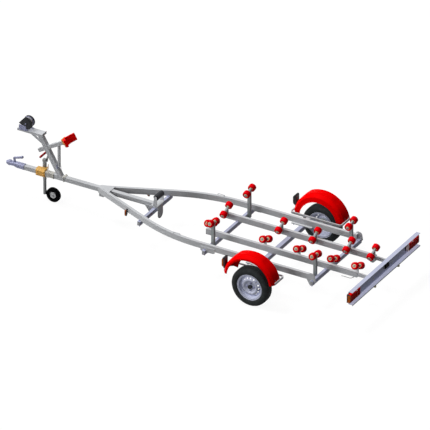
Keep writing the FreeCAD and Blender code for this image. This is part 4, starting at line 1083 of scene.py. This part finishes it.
@dataclass
class FrameFixings:
    """Bolts and plugs of the frame's tubes."""

    wall: float = 0.003
    thread: float = 0.006
    front_rail: float = 0.370
    rails: Pair = (0.596, 0.244)
    beside_rail: float = 0.031
    axle_x: float = -1.272
    pad_reach: float = 0.120
    pad_ys: Pair = (0.560, 0.632)
    pad_low: float = 0.388
    side_rail_end: Spot = (-2.08, 0.596, 0.44)
    side_rail_size: Pair = (0.040, 0.080)

    def cross_bolts(self) -> None:
        """Build the bolts that hold the rails on the crossmembers."""
        stock = Stock("crossmember_bolts")
        for node, rails in zip(CROSSMEMBERS, ((self.front_rail,), self.rails, self.rails)):
            low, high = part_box(node)
            middle = (low.x + high.x) / 2
            for rail in rails:
                for side in SIDES.values():
                    for offset in (-self.beside_rail, self.beside_rail):
                        y = side * (rail + offset)
                        stock.bolt((middle, y, high.z), UP, self.thread, 0.4 * offset)
                        stock.nut((middle, y, low.z), DOWN, self.thread, 0.014)
        stock.dress("chassis", Use.ZINC, "zinc_plated_steel")

    def axle_bolts(self) -> None:
        """Build the bolts through the pads over the axle beam."""
        stock = Stock("axle_bolts")
        for side in SIDES.values():
            for x in (self.axle_x - self.pad_reach, self.axle_x + self.pad_reach):
                for y in self.pad_ys:
                    stock.nut((x, side * y, self.pad_low), DOWN, self.thread, 0.010)
        stock.dress("chassis", Use.ZINC, "zinc_plated_steel")

    def plugs(self) -> None:
        """Build the plugs in the open ends of the tubes."""
        stock = Stock("tube_plugs")
        for node in ("keel_rail_left", "keel_rail_right"):
            low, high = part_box(node)
            self.plug(stock, (high.x, (low.y + high.y) / 2, (low.z + high.z) / 2), AHEAD, high.y - low.y,
                      high.z - low.z)
        for node in CROSSMEMBERS:
            low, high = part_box(node)
            for end, y in ((-1, low.y), (1, high.y)):
                self.plug(stock, ((low.x + high.x) / 2, y, (low.z + high.z) / 2), (0, end, 0), high.x - low.x,
                          high.z - low.z)
        x, y, z = self.side_rail_end
        for side in SIDES.values():
            self.plug(stock, (x, side * y, z), BACK, *self.side_rail_size)
        stock.dress("chassis", Use.PLUG, "black_plastic")

    def plug(self, stock: Stock, at: Place, axis: Place, wide: float, high: float) -> None:
        """Add one plug.

        Args:
            stock: the mesh that it joins.
            at: the middle of the tube's end.
            axis: out of the tube.
            wide: the tube's width.
            high: the tube's height.
        """
        inner = box_outline(wide - 2 * self.wall - 0.0006, high - 2 * self.wall - 0.0006)
        facing = Matrix(((0, 0, axis[0]), (0, 0, axis[1]), (0, 1, 0))).to_4x4()
        facing[0][0], facing[1][0] = -axis[1], axis[0]
        start = Matrix.Translation(Vector(at) - Vector(axis) * 0.004)
        stock.plate(inner, 0.0046, start @ facing, 0.0012)

    def build(self) -> None:
        """Build every fixing."""
        self.cross_bolts()
        self.axle_bolts()
        self.plugs()


# ---------------------------------------------------------------- coupling, jockey wheel and winch stand

@dataclass
class Coupling:
    """The pressed ball coupling: its sleeve, sloping nose, ball dome, bolts and the knob on its handle."""

    bolt_xs: Pair = (2.600, 2.660)
    knob: Spot = (2.612, 0.0, 0.579)
    ball_x: float = 2.795
    wide: float = 0.0355
    bolt_z: float = 0.447
    rivet: Spot = (2.722, 0.0115, 0.517)
    steps: int = 40

    def ring(self, x: float, wide: float, low: float, high: float) -> list[Vector]:
        """Return one rounded section of the pressing.

        Args:
            x: where it lies.
            wide: its half width.
            low, high: its lowest and highest point.

        Returns:
            Its points.
        """
        points = []
        for step in range(self.steps):
            angle = math.tau * step / self.steps
            across, up = math.cos(angle), math.sin(angle)
            points.append(Vector((x, wide * math.copysign(abs(across) ** 0.3, across),
                                  (low + high) / 2 + (high - low) / 2 * math.copysign(abs(up) ** 0.3, up))))
        return points

    def head(self) -> None:
        """Build the pressing."""
        stock = Stock("coupling_pressing")
        front, wide = CAD_BOX[1][0], self.wide
        stations = [(x, wide + wider, low, high) for x, wider, low, high in mm(
            (2569, 0, 413, 482), (2572, 1, 411, 483.5), (2576, 0, 413, 482), (2676, 0, 414, 482),
            (2684, -1, 417, 481), (2706, -1, 424, 480), (2730, -2, 430, 477), (2760, -2, 432, 474))]
        nose = wide - 0.002
        for step in range(13):
            angle = math.pi / 2 * step / 12.4
            stations.append((front - nose + nose * math.sin(angle), nose * math.cos(angle), 0.432 + 0.004 * step / 12,
                             0.472 - 0.006 * step / 12))
        rings = [self.ring(*station) for station in stations]
        middle = [[Vector((stations[end][0], 0, sum(stations[end][2:]) / 2))] for end in (0, -1)]
        stock.rows([middle[0], *rings, middle[1]], closed_ring=False)
        dome = along((self.ball_x, 0, 0), UP)
        stock.turned(mm((456, 0), (456, 31), (472, 30.5), (479, 28.5), (485.5, 23.5), (489.5, 14), (490.5, 0)),
                     dome, 40)
        stock.turned(mm((434, 31), (424, 30.5), (422, 28.5), (424, 26.2), (434, 25.5)), dome, 40)
        for rim in (0.0305, -0.0305):
            stock.rod([Vector((2.735, rim, 0.4335)), Vector((2.800, rim, 0.4345))], 0.004, 10)
        stock.plate(box_outline(0.034, 0.030), 0.013, Matrix.Translation((2.724, 0, 0.476)), 0.002)
        stock.dress("chassis", Use.ZINC, "zinc_plated_steel", ["coupling_head"], 40)

    def build(self) -> None:
        """Build the pressing, its bolts, the handle's rivet and the knob."""
        self.head()
        stock = Stock("coupling_bolts")
        for x in self.bolt_xs:
            stock.bolt((x, self.wide, self.bolt_z), LEFT, 0.0045, 0.2)
            stock.nut((x, -self.wide, self.bolt_z), RIGHT, 0.006, 0.008)
        stock.turned(mm((0, 0), (0, 9), (3, 8.5), (4.5, 5), (5, 0)), along(self.rivet, LEFT), 20)
        stock.dress("chassis", Use.ZINC, "zinc_plated_steel")
        knob = Stock("coupling_handle_knob")
        knob.turned(mm((-19, 0), (-19, 10), (-16, 14.5), (-10, 16.5), (10, 16.5), (16, 14.5), (19, 10), (19, 0)),
                    along(self.knob, LEFT), 28)
        knob.dress("chassis", Use.ZINC, "zinc_plated_steel")


@dataclass
class JockeyFittings:
    """The jockey wheel's tyre, hub, crank grip, tube cap and the clamp's bolts."""

    wheel_radius: float = 0.102
    grip_ends: Pair = (-0.100, 0.076)
    grip: Spot = (2.295, 0, 0.706)
    clamp_zs: Pair = (0.424, 0.462)
    screw: Corner = (2.302, 0.452)
    spokes: int = 5
    rings: int = 9

    def wheel(self) -> None:
        """Build the solid tyre and the hub's two faces."""
        place, body = along(JOINTS["jockey_spin"]["pos_m"], LEFT), "jockey_roller"
        tyre = Stock("jockey_tyre")
        tread = shifted(mm((0, 0), (2, -1.2), (3.5, -1.2), (5.5, 0), (17.5, -0.4), (20.5, -2), (22.5, -5),
                           (23.5, -11), (23.5, -22)), 0, self.wheel_radius)
        half = tread + mm((22.5, 70), (20.5, 62), (20, 57), (21.8, 55.5), (21.8, 52), (19, 50), (15, 43), (15, 8.1))
        tyre.turned(mirrored(half) + half[1:], place, 72)
        tyre.dress(body, Use.RUBBER, "black_rubber", ["jockey_wheel"])
        hub = Stock("jockey_hub")
        for end in ENDS:
            ring = mm((14.5, 8.1), (14.5, 43.5), (19.5, 44.5), (21.2, 43), (20, 40.5), (17.8, 38.5), (17.8, 20.5),
                      (24, 18), (25, 16), (25, 8.1))
            hub.turned([(end * height, radius) for height, radius in ring], place, 48)
            for spoke in range(self.spokes):
                turn = place @ Matrix.Rotation(math.tau * spoke / self.spokes, 4, "Z")
                low = turn @ Matrix.Translation((0.029, 0, 0.0170 if end > 0 else -0.0222))
                hub.plate(box_outline(0.024, 0.004), 0.0052, low, 0.001)
        hub.dress(body, Use.HUB, "black_plastic")

    def crank(self) -> None:
        """Build the crank's red grip with its finger rings."""
        start, end = self.grip_ends
        profile = [(start, 0), (start, 0.0105), (start + 0.003, 0.0145)]
        step = (end - start - 0.018) / self.rings
        for ring in range(self.rings):
            at = start + 0.008 + step * ring
            profile += [(at, 0.0150), (at + 0.32 * step, 0.0136), (at + 0.68 * step, 0.0136), (at + step, 0.0150)]
        profile += [(end - 0.004, 0.0145), (end, 0.0105), (end, 0)]
        stock = Stock("jockey_crank_grip")
        stock.turned(profile, along(self.grip, LEFT), 28)
        stock.dress("chassis", Use.RED_GRIP, "red_plastic")

    def cap(self) -> None:
        """Build the cap round the tube's top."""
        low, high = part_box("jockey_outer_tube")
        middle = ((low.x + high.x) / 2, (low.y + high.y) / 2, 0)
        stock = Stock("jockey_tube_cap")
        stock.turned(shifted(mm((-58, 24.1), (-58, 26.2), (-54, 26.8), (-4, 26.8), (0.5, 25.5), (1, 23.6)), high.z),
                     along(middle, UP), 40)
        stock.dress("chassis", Use.TUBE, "zinc_plated_steel")

    def clamp(self) -> None:
        """Build the clamp's bolts and its turning handle."""
        low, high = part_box("jockey_clamp")
        stock = Stock("jockey_clamp_bolts")
        for x in (low.x + 0.024, high.x - 0.024):
            for z in self.clamp_zs:
                stock.bolt((x, high.y, z), LEFT, 0.0058, 0.3)
        x, z = self.screw
        stock.rod([Vector((x, low.y + 0.004, z)), Vector((x, low.y - 0.040, z))], 0.006)
        stock.rod([Vector((x, low.y - 0.036, z - 0.040)), Vector((x, low.y - 0.036, z + 0.040))], 0.0045)
        stock.dress("chassis", Use.GOLD, "yellow_zinc")

    def build(self) -> None:
        """Build every fitting."""
        self.wheel()
        self.crank()
        self.cap()
        self.clamp()


@dataclass
class WinchFittings:
    """The winch's moulded covers, shaft nuts, strap and what holds the stand together."""

    shaft: Corner = (2.510, 1.142)
    middle: float = 0.0155
    cheek: float = 0.0345
    gap: float = 0.002
    cover: float = 0.014
    hood: float = 0.088
    guard: float = 0.079
    foot_x: float = 1.967
    strut_x: float = 2.120
    base_bolt_y: float = -0.038
    arm_bolts: Pair = (2.525, 2.585)
    arm_bolt_at: Corner = (0.0755, 1.055)
    sleeves: tuple[Pair, ...] = ((2.182, 2.238), (2.128, 2.176))
    sleeve_bolt: Corner = (2.210, 0.019)
    pin: Corner = (2.050, 0.640)
    strap_half: float = 0.0229
    strap_core: float = 0.0262
    strap_outer: float = 0.068
    strap_turns: int = 16

    def covers(self) -> None:
        """Build the near hood with its beak and the far guard."""
        x, z = self.shaft
        near = self.middle + self.cheek + self.gap
        hood = Stock("winch_hood")
        arc = [(self.hood * math.cos(math.radians(angle)), self.hood * math.sin(math.radians(angle)))
               for angle in range(80, 326, 12)]
        outline = [*mm((112, -16), (104, -6), (20, 90)), *shifted(arc, -0.006, 0.008), (0.070, -0.028)]
        hood.plate(outline, self.cover, upright((x, near, z)), 0.004)
        inner = [(ahead * 0.72 - 0.002, up * 0.72 + 0.002) for ahead, up in outline]
        hood.plate(inner, 0.004, upright((x, near + self.cover - 0.0005, z)), 0.0016)
        hood.turned(mm((0, 30), (6.5, 26), (9, 17), (9, 0)), along((x, near + self.cover, z), LEFT), 36)
        far = self.middle - self.cheek - self.gap
        hood.plate(circle(self.guard, 44), self.cover, upright((x, far - self.cover, z)), 0.004)
        rim = [(-self.cover - 0.003, 0.0), (-self.cover - 0.003, 0.052), (-self.cover + 0.001, 0.056)]
        hood.turned(rim, along((x, far, z), LEFT), 44)
        hood.dress("chassis", Use.BLACK, "black_plastic", ["winch_covers"], 40)

    def bolts(self) -> None:
        """Build the shaft's nuts and the bolts of the winch's base."""
        stock = Stock("winch_bolts")
        x, z = self.shaft
        near = self.middle + self.cheek + self.gap + self.cover
        stock.nut((x, near + 0.009, z), LEFT, 0.0048, 0.005)
        stock.nut((x, self.middle - self.cheek - self.gap - self.cover, z), RIGHT, 0.008, 0.010)
        low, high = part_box("winch_frame")
        for end_x in (low.x + 0.014, high.x - 0.018):
            stock.bolt((end_x, self.base_bolt_y, low.z + 0.004), UP, 0.005)
        for end_x in self.arm_bolts:
            stock.bolt((end_x, *self.arm_bolt_at), LEFT, 0.0045)
        stock.dress("chassis", Use.ZINC, "zinc_plated_steel")

    def strap(self) -> None:
        """Build the wound strap, whose turns show at its edges."""
        stock = Stock("wound_strap")
        place = along((self.shaft[0], self.middle, self.shaft[1]), LEFT)
        half, core, crown = self.strap_half, self.strap_core, self.strap_outer
        edge = [(-half, core)]
        step = (crown - core) / self.strap_turns
        for turn in range(self.strap_turns):
            base = core + turn * step
            edge += [(-half, base + 0.2 * step), (-half - 0.0003, base + 0.5 * step), (-half, base + 0.8 * step),
                     (-half + 0.0009, base + step)]
        edge += [(-half + 0.002, crown), (-0.009, crown + 0.0004)]
        stock.turned(edge + mirrored(edge[1:]), place, 72)
        stock.dress("winch_spool", Use.WEBBING, "webbing", ["winch_strap"], 60)

    def foot(self) -> None:
        """Build the U-bolts that hold the post and its strut on the drawbar."""
        low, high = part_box("drawbar")
        bend, out = 0.012, 0.0055
        stock = Stock("winch_post_u_bolt")
        for x in (self.foot_x - 0.004, self.strut_x):
            corners = [(x, -high.y - out, high.z + 0.014), (x, -high.y - out, low.z - out),
                       (x, high.y + out, low.z - out), (x, high.y + out, high.z + 0.014)]
            stock.rod(bent(corners, bend), 0.005, 12)
            for side in ENDS:
                stock.nut((x, side * (high.y + out), high.z + 0.006), UP, 0.0052, 0.006)
        stock.plate(box_outline(0.034, 2 * high.y + 0.032), 0.006,
                    Matrix.Translation((self.foot_x - 0.004, 0, high.z)), 0.0012)
        stock.dress("chassis", Use.PALE, "yellow_zinc")

    def collars(self) -> None:
        """Build the two sleeves round the drawbar and their bolts."""
        low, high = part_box("drawbar")
        sleeves = Stock("drawbar_sleeves")
        for start, end in self.sleeves:
            half = high.y + 0.0032
            corners = [(-half, low.z - 0.003), (half, low.z - 0.003), (half, high.z + 0.003), (-half, high.z + 0.003)]
            inner = [(y * (high.y + 0.0004) / half, min(max(z, low.z - 0.0004), high.z + 0.0004)) for y, z in corners]
            rings = [[Vector((x, y, z)) for y, z in outline]
                     for x, outline in ((start, inner), (start, corners), (end, corners), (end, inner))]
            sleeves.rows(rings)
        x, beside = self.sleeve_bolt
        for side in ENDS:
            sleeves.nut((x, side * beside, low.z - 0.003), DOWN, 0.0058, 0.010)
            sleeves.bolt((x, side * beside, high.z + 0.003), UP, 0.0058)
        sleeves.dress("chassis", Use.PALE, "zinc_plated_steel")

    def strut_pin(self) -> None:
        """Build the strut's pin with its ring."""
        pin = Stock("strut_pin")
        x, z = self.pin
        pin.rod([Vector((x, -0.024, z)), Vector((x, 0.024, z))], 0.005, 12)
        loop = mm((2050, 20, 640), (2030, 21, 655), (2012, 20, 640), (1998, 19, 585), (2004, 18, 572),
                  (2014, 18, 582), (2030, 19, 628), (2046, 20, 640))
        pin.rod(bent(loop, 0.006, 3), 0.0016, 8)
        pin.dress("chassis", Use.TUBE, "zinc_plated_steel")

    def build(self) -> None:
        """Build every fitting of the stand."""
        self.covers()
        self.bolts()
        self.strap()
        self.foot()
        self.collars()
        self.strut_pin()


@dataclass
class BowStopFinish:
    """The bow stop's red block, the cradle that holds it and the bolts of its bracket."""

    lean: float = 30.6
    front: Corner = (1.9535, 1.001)
    height: float = 0.100

    def frame(self) -> Matrix:
        """Return the stop's frame: X out of the V, Z up along it."""
        x, z = self.front
        return Matrix.Translation((x, 0, z)) @ Matrix.Rotation(math.pi + math.radians(self.lean), 4, "Y")

    def build(self) -> None:
        """Build the block, its cradle and the bracket's bolts."""
        outline = mm((86, -132), (111, -107), (34, -30), (30, -24), (30, 24), (34, 30), (111, 107), (86, 132),
                     (0, 45), (0, -45))
        stock = Stock("bow_stop_block")
        low = self.frame() @ Matrix.Translation((0, 0, -self.height / 2))
        stock.plate(outline, self.height, low, 0.004)
        stock.dress("chassis", Use.RED_STOP, "red_polyurethane", ["bow_stop"])
        cradle = Stock("bow_stop_cradle")
        for side in ENDS:
            cheek = [(-0.004, side * 0.046), (-0.001, side * 0.0505), (0.044, side * 0.0955), (0.047, side * 0.0925)]
            cradle.plate(cheek, 0.062, self.frame() @ Matrix.Translation((0, 0, -0.008)), 0.001)
        floor = mm((-4, -49.5), (44, -95.5), (47, -92.5), (30, -30), (30, 30), (47, 92.5), (44, 95.5), (-4, 49.5))
        cradle.plate(floor, 0.0035, self.frame() @ Matrix.Translation((0, 0, self.height / 2 + 0.0005)), 0.001)
        cradle.dress("chassis", Use.GOLD, "yellow_zinc")
        bolts = Stock("bow_stop_bolts")
        lean = math.radians(self.lean)
        back = Vector((math.cos(lean), 0, -math.sin(lean)))
        for reach, side in ((0.012, 0.030), (0.012, -0.004)):
            at = Vector((self.front[0], 0, self.front[1])) + back * reach + Vector((back.z, 0, -back.x)) * -side
            for end in ENDS:
                bolts.bolt(at + Vector((0, end * 0.040, 0)), (0, end, 0), 0.005)
        bolts.dress("chassis", Use.GOLD, "yellow_zinc")


# ---------------------------------------------------------------- light board

@dataclass
class Lamps:
    """The tail, plate, position and side marker lamps."""

    middle: float = 0.770
    shift: float = 0.035
    length: float = 0.272
    face: float = -2.793
    base_deep: float = 0.009
    end_cap: float = 0.016
    position_y: float = 0.930
    marker: Corner = (0.862, 0.287)

    def bar(self, stock: Stock, section: Sequence[Corner], start: float, end: float, edge: float = 0.002) -> None:
        """Add a bar between two places along Y, drawn in X and Z, with its edges broken."""
        start, end = sorted((start, end))
        stock.plate(section, end - start, upright((0, start, 0)), edge)

    def rib(self, stock: Stock, section: Sequence[Corner], rise: float, start: float, end: float,
            edge: float) -> None:
        """Add a thin bar whose outer face stands out along X from the lamp's own section by a rise."""
        back = section[0][0]
        self.bar(stock, [(x + rise if abs(x - back) > 0.001 else x, z) for x, z in section], start, end, edge)

    def tail(self) -> None:
        """Build the tail lamps: black bases, red lenses, amber outer ends and clear inner ends."""
        bases, lenses, ambers, clears = (Stock(name) for name in (
            "tail_lamp_bases", "tail_lamp_lenses", "tail_lamp_ambers", "tail_lamp_windows"))
        split = self.face - self.base_deep
        base = [(self.face + 0.0002, 0.434), (self.face + 0.0002, 0.557), (split, 0.557), (split, 0.434)]
        lens = [(split, 0.438), (split, 0.553), (-2.838, 0.553), (-2.846, 0.545), (-2.846, 0.446), (-2.838, 0.438)]
        for side in SIDES.values():
            middle = side * self.middle + self.shift
            inner, outer = middle - side * self.length / 2, middle + side * self.length / 2
            window, cap = inner + side * 0.007, outer - side * self.end_cap
            self.bar(bases, base, inner - side * 0.004, outer + side * 0.001)
            self.bar(clears, lens, inner, window)
            self.bar(lenses, lens, window, cap, 0.003)
            low = [(x, min(z, 0.545)) for x, z in lens[:3]] + [(x, min(z, 0.541)) for x, z in lens[3:]]
            self.bar(ambers, low, cap, outer, 0.003)
            high = [(split, 0.5455), (split, 0.557), (-2.834, 0.557), (-2.844, 0.5455)]
            self.bar(bases, high, cap, outer)
            light = mm((-2838, 535), (-2838, 553.5), (-2840.5, 553.5), (-2847.5, 545), (-2847.5, 535))
            start = inner + side * 0.080
            self.bar(clears, light, start, start + side * 0.034, 0.001)
            for step in range(1, 5):
                at = inner + side * (step * 0.052)
                self.rib(lenses, lens, -0.0022, at, at + side * 0.0022, 0.0008)
        bases.dress("chassis", Use.BLACK, "black_plastic")
        lenses.dress("chassis", Use.TAIL_LENS, "red_lens", ["tail_lamps"])
        ambers.dress("chassis", Use.AMBER_LENS, "amber_lens")
        clears.dress("chassis", Use.CLEAR_LENS, "red_lens")

    def plate(self) -> None:
        """Build the number plate's lamp: a hooded black case with a clear slot."""
        case, slot = Stock("plate_lamp_case"), Stock("plate_lamp_window")
        section = shifted(mm((0, 468), (0, 532), (-16, 532), (-34, 522), (-40, 508), (-40, 470), (-36, 466)),
                          self.face)
        self.bar(case, section, -0.108, -0.012, 0.003)
        for start in (-0.106, -0.020):
            self.rib(case, section, -0.002, start, start + 0.006, 0.0015)
        window = shifted(mm((0, 474), (0, 520), (-12, 520), (-22, 500), (-22, 474)), self.face)
        self.bar(slot, window, -0.0125, -0.002, 0.002)
        case.dress("chassis", Use.MATT_BLACK, "black_plastic")
        slot.dress("chassis", Use.TUBE, "black_plastic")

    def position(self) -> None:
        """Build the front position lamps: amber domes in black cases with a shroud on the inboard side."""
        cases, lenses = Stock("position_lamp_cases"), Stock("position_lamp_lenses")
        for side in SIDES.values():
            inner, outer = self.position_y - 0.042, self.position_y + 0.042
            back = mm((-1000, 448), (-992, 440), (-980, 440), (-980, 594), (-988, 600), (-1000, 590))
            self.bar(cases, back, side * inner, side * outer)
            shroud = mm((-984, 450), (-962, 456), (-950, 476), (-950, 560), (-960, 584), (-984, 592))
            self.bar(cases, shroud, side * inner, side * (inner + 0.014), 0.003)
            brow = mm((-984, 578), (-964, 574), (-968, 592), (-984, 598))
            self.bar(cases, brow, side * inner, side * outer, 0.002)
            dome = mm((-980.5, 454), (-960, 458), (-951, 472), (-951, 556), (-958, 572), (-980.5, 576))
            self.bar(lenses, dome, side * (inner + 0.015), side * (outer - 0.001), 0.005)
            for step in range(5):
                at = inner + 0.026 + step * 0.011
                self.rib(lenses, dome, 0.001, side * at, side * (at + 0.002), 0.0006)
        cases.dress("chassis", Use.BLACK, "black_plastic", ["lamp_housings"])
        lenses.dress("chassis", Use.AMBER_LENS, "amber_lens", ["amber_lamps"])

    def side(self) -> None:
        """Build the side marker lamps and their brackets."""
        cases, lenses = Stock("side_marker_brackets"), Stock("side_marker_lenses")
        x, y = self.marker
        for side in SIDES.values():
            leg = shifted(mm((-12, 372), (-12, 448), (-8, 455), (0, 455), (0, 372)), x)
            self.bar(cases, leg, side * y, side * (y + 0.020), 0.0015)
            back = shifted(mm((-2, 346), (-2, 434), (4, 434), (4, 346)), x)
            self.bar(cases, back, side * (y - 0.004), side * (y + 0.020), 0.0015)
            glass = shifted(mm((4, 347), (22, 349), (27, 356), (27, 422), (22, 429), (4, 431)), x)
            self.bar(lenses, glass, side * (y - 0.003), side * (y + 0.019), 0.004)
            for step in range(3):
                at = y + 0.002 + step * 0.005
                self.rib(lenses, glass, 0.0008, side * at, side * (at + 0.0015), 0.0005)
        cases.dress("chassis", Use.BLACK, "black_plastic")
        lenses.dress("chassis", Use.AMBER_LENS, "amber_lens")

    def build(self) -> None:
        """Build every lamp."""
        self.tail()
        self.plate()
        self.position()
        self.side()


@dataclass
class BoardFittings:
    """The board's bolts, its hem and the levers that lock its slides."""

    face: float = -2.793
    knob_x: float = -2.831
    slide_y: float = 0.244
    knob_ys: Pair = (0.270, -0.345)
    lock_x: float = -2.505
    lamp_y: float = 0.5

    def bolts(self) -> None:
        """Build the knobs under the board and the bolts through its web."""
        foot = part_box("light_board")[0].z
        under = Stock("board_under_bolts")
        for y in self.knob_ys:
            under.nut((self.knob_x, y, foot), DOWN, 0.0075, 0.012)
            under.turned(mm((18, 0), (18, 15), (21, 18), (44, 18), (50, 13), (50, 0)),
                         along((self.knob_x, y, foot), DOWN), 24)
        under.dress("chassis", Use.NYLON, "yellow_zinc")
        stock = Stock("board_bolts")
        for side in SIDES.values():
            for z in (0.428, 0.452):
                stock.bolt((self.face, side * self.slide_y, z), BACK, 0.005)
            for y in (0.105, 0.015):
                stock.bolt((self.face, side * self.lamp_y + y, 0.520), BACK, 0.0032)
        stock.dress("chassis", Use.TUBE, "zinc_plated_steel")

    def hem(self) -> None:
        """Build the turned-down hem along the lower flange."""
        low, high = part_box("light_board")
        stock = Stock("board_hem")
        section = shifted(mm((0, 1), (0, -12), (2, -13), (3.5, -11), (3.5, 1)), low.x, low.z)
        stock.plate(section, high.y - low.y, upright((0, low.y, 0)))
        stock.dress("chassis", Use.DULL, "galvanised_steel")

    def lever(self) -> None:
        """Build the levers that lock the slides under the keel rails."""
        stock = Stock("slide_locks")
        for side in SIDES.values():
            path = bent([(self.lock_x, side * self.slide_y, 0.396), (self.lock_x, side * self.slide_y, 0.384),
                         (-2.485, side * 0.292, 0.384), (-2.350, side * 0.296, 0.386)], 0.007, 4)
            stock.rod(path, 0.0045, 10)
            stock.nut((self.lock_x, side * self.slide_y, 0.400), DOWN, 0.006, 0.006)
        stock.dress("chassis", Use.TUBE, "zinc_plated_steel")

    def build(self) -> None:
        """Build every fitting of the board."""
        self.bolts()
        self.hem()
        self.lever()


# ---------------------------------------------------------------- studio

@dataclass
class Studio:
    """A pale floor, soft light and a camera far away on a long lens; part of the key light casts no shadow."""

    target: Spot = (-0.2927, -0.0039, 0.545)
    azimuth: float = 60.0
    elevation: float = 30.0
    distance: float = 200.0
    frame_width: float = 5.5771725
    key: float = 2.90
    open_share: float = 0.62
    fill: float = 1.16
    ambient: float = 0.09
    bounce: float = 0.08
    shade: float = 0.20
    glow: float = 0.82
    overhead: Spot = (0.40, 0.08, 0.91)
    beside: Spot = (0.55, 0.78, 0.30)
    key_softness: float = 24
    fill_softness: float = 30
    floor_radius: float = 30

    def camera(self) -> None:
        """Place the camera behind the trailer, on its left."""
        lens = bpy.data.cameras.new("long_lens")
        lens.sensor_width = 36
        lens.lens = self.distance * lens.sensor_width / self.frame_width
        lens.clip_start, lens.clip_end = 0.5, 2 * self.distance
        eye = bpy.data.objects.new("long_lens", lens)
        level, turn = math.radians(self.elevation), math.radians(self.azimuth)
        back = Vector((-math.cos(level) * math.cos(turn), math.cos(level) * math.sin(turn), math.sin(level)))
        eye.location = Vector(self.target) + back * self.distance
        eye.rotation_euler = back.to_track_quat("Z", "Y").to_euler()
        bpy.context.scene.collection.objects.link(eye)
        bpy.context.scene.camera = eye

    def sun(self, name: str, towards: Place, strength: float, angle: float, shadows: bool = True) -> None:
        """Add a distant lamp.

        Args:
            name: its name.
            towards: the direction in which it stands.
            strength: its strength.
            angle: how wide it looks, in degrees; a wide one casts soft shadows.
            shadows: whether it casts any.
        """
        lamp = bpy.data.lights.new(name, "SUN")
        lamp.energy = strength
        lamp.angle = math.radians(angle)
        lamp.use_shadow = shadows
        stand = bpy.data.objects.new(name, lamp)
        stand.rotation_euler = Vector(towards).to_track_quat("Z", "Y").to_euler()
        bpy.context.scene.collection.objects.link(stand)

    @staticmethod
    def seen(bench: Bench) -> Signal:
        """Return 1 for what the camera sees, also in gloss and through clear pieces.

        Args:
            bench: where the nodes are built.

        Returns:
            The signal, 0 for all other rays.
        """
        rays = [bench.node("ShaderNodeLightPath", {}, {}, ray)
                for ray in ("Is Camera Ray", "Is Glossy Ray", "Is Transmission Ray")]
        return (rays[0] + rays[1] + rays[2]).step(0, 1)

    def world(self) -> None:
        """Light the scene evenly and show white behind it."""
        world = bpy.data.worlds.new("even_light")
        world.use_nodes = True
        bench = Bench(world.node_tree)
        strength = self.ambient + (1 - self.ambient) * self.seen(bench)
        glow = bench.node("ShaderNodeBackground", {}, {"Color": (1, 1, 1, 1), "Strength": strength})
        bench.node("ShaderNodeOutputWorld", {}, {"Surface": glow})
        bpy.context.scene.world = world

    def floor(self) -> None:
        """Lay a round pale floor, which shows white but keeps the trailer's shadow."""
        rim = [(x, y, 0) for x, y in circle(self.floor_radius, 64)]
        mesh = bpy.data.meshes.new("floor")
        mesh.from_pydata(rim, [], [tuple(range(len(rim)))])
        floor = bpy.data.objects.new("floor", mesh)
        bpy.context.scene.collection.objects.link(floor)
        made = bpy.data.materials.new("pale_floor")
        made.use_nodes = True
        bench = Bench(made.node_tree)
        seen = self.seen(bench)
        grey = self.bounce + (self.shade - self.bounce) * seen
        matt = bench.node("ShaderNodeBsdfDiffuse", {}, {"Color": bench.grey(grey)})
        glow = bench.node("ShaderNodeEmission", {}, {"Color": (1, 1, 1, 1), "Strength": self.glow * seen})
        both = bench.node("ShaderNodeAddShader", {}, {0: matt, 1: glow})
        bench.node("ShaderNodeOutputMaterial", {}, {"Surface": both})
        mesh.materials.append(made)

    def build(self) -> None:
        """Set up the whole studio."""
        self.camera()
        self.sun("key_lamp", self.overhead, self.key * (1 - self.open_share), self.key_softness)
        self.sun("open_key_lamp", self.overhead, self.key * self.open_share, self.key_softness, False)
        self.sun("fill_lamp", self.beside, self.fill, self.fill_softness)
        self.world()
        self.floor()
        bpy.context.scene.view_settings.view_transform = "Standard"


def main() -> None:
    """Build the studio and every sub-assembly."""
    logging.basicConfig(level=logging.INFO, format="%(message)s")
    Studio().build()
    FrameFinish().dress()
    for side in SIDES:
        RoadWheel(side).build()
        Mudguard(side).build()
    BoatRollers().build()
    FrameFixings().build()
    Coupling().build()
    JockeyFittings().build()
    WinchFittings().build()
    BowStopFinish().build()
    Lamps().build()
    BoardFittings().build()


if __name__ == "__main__":
    main()
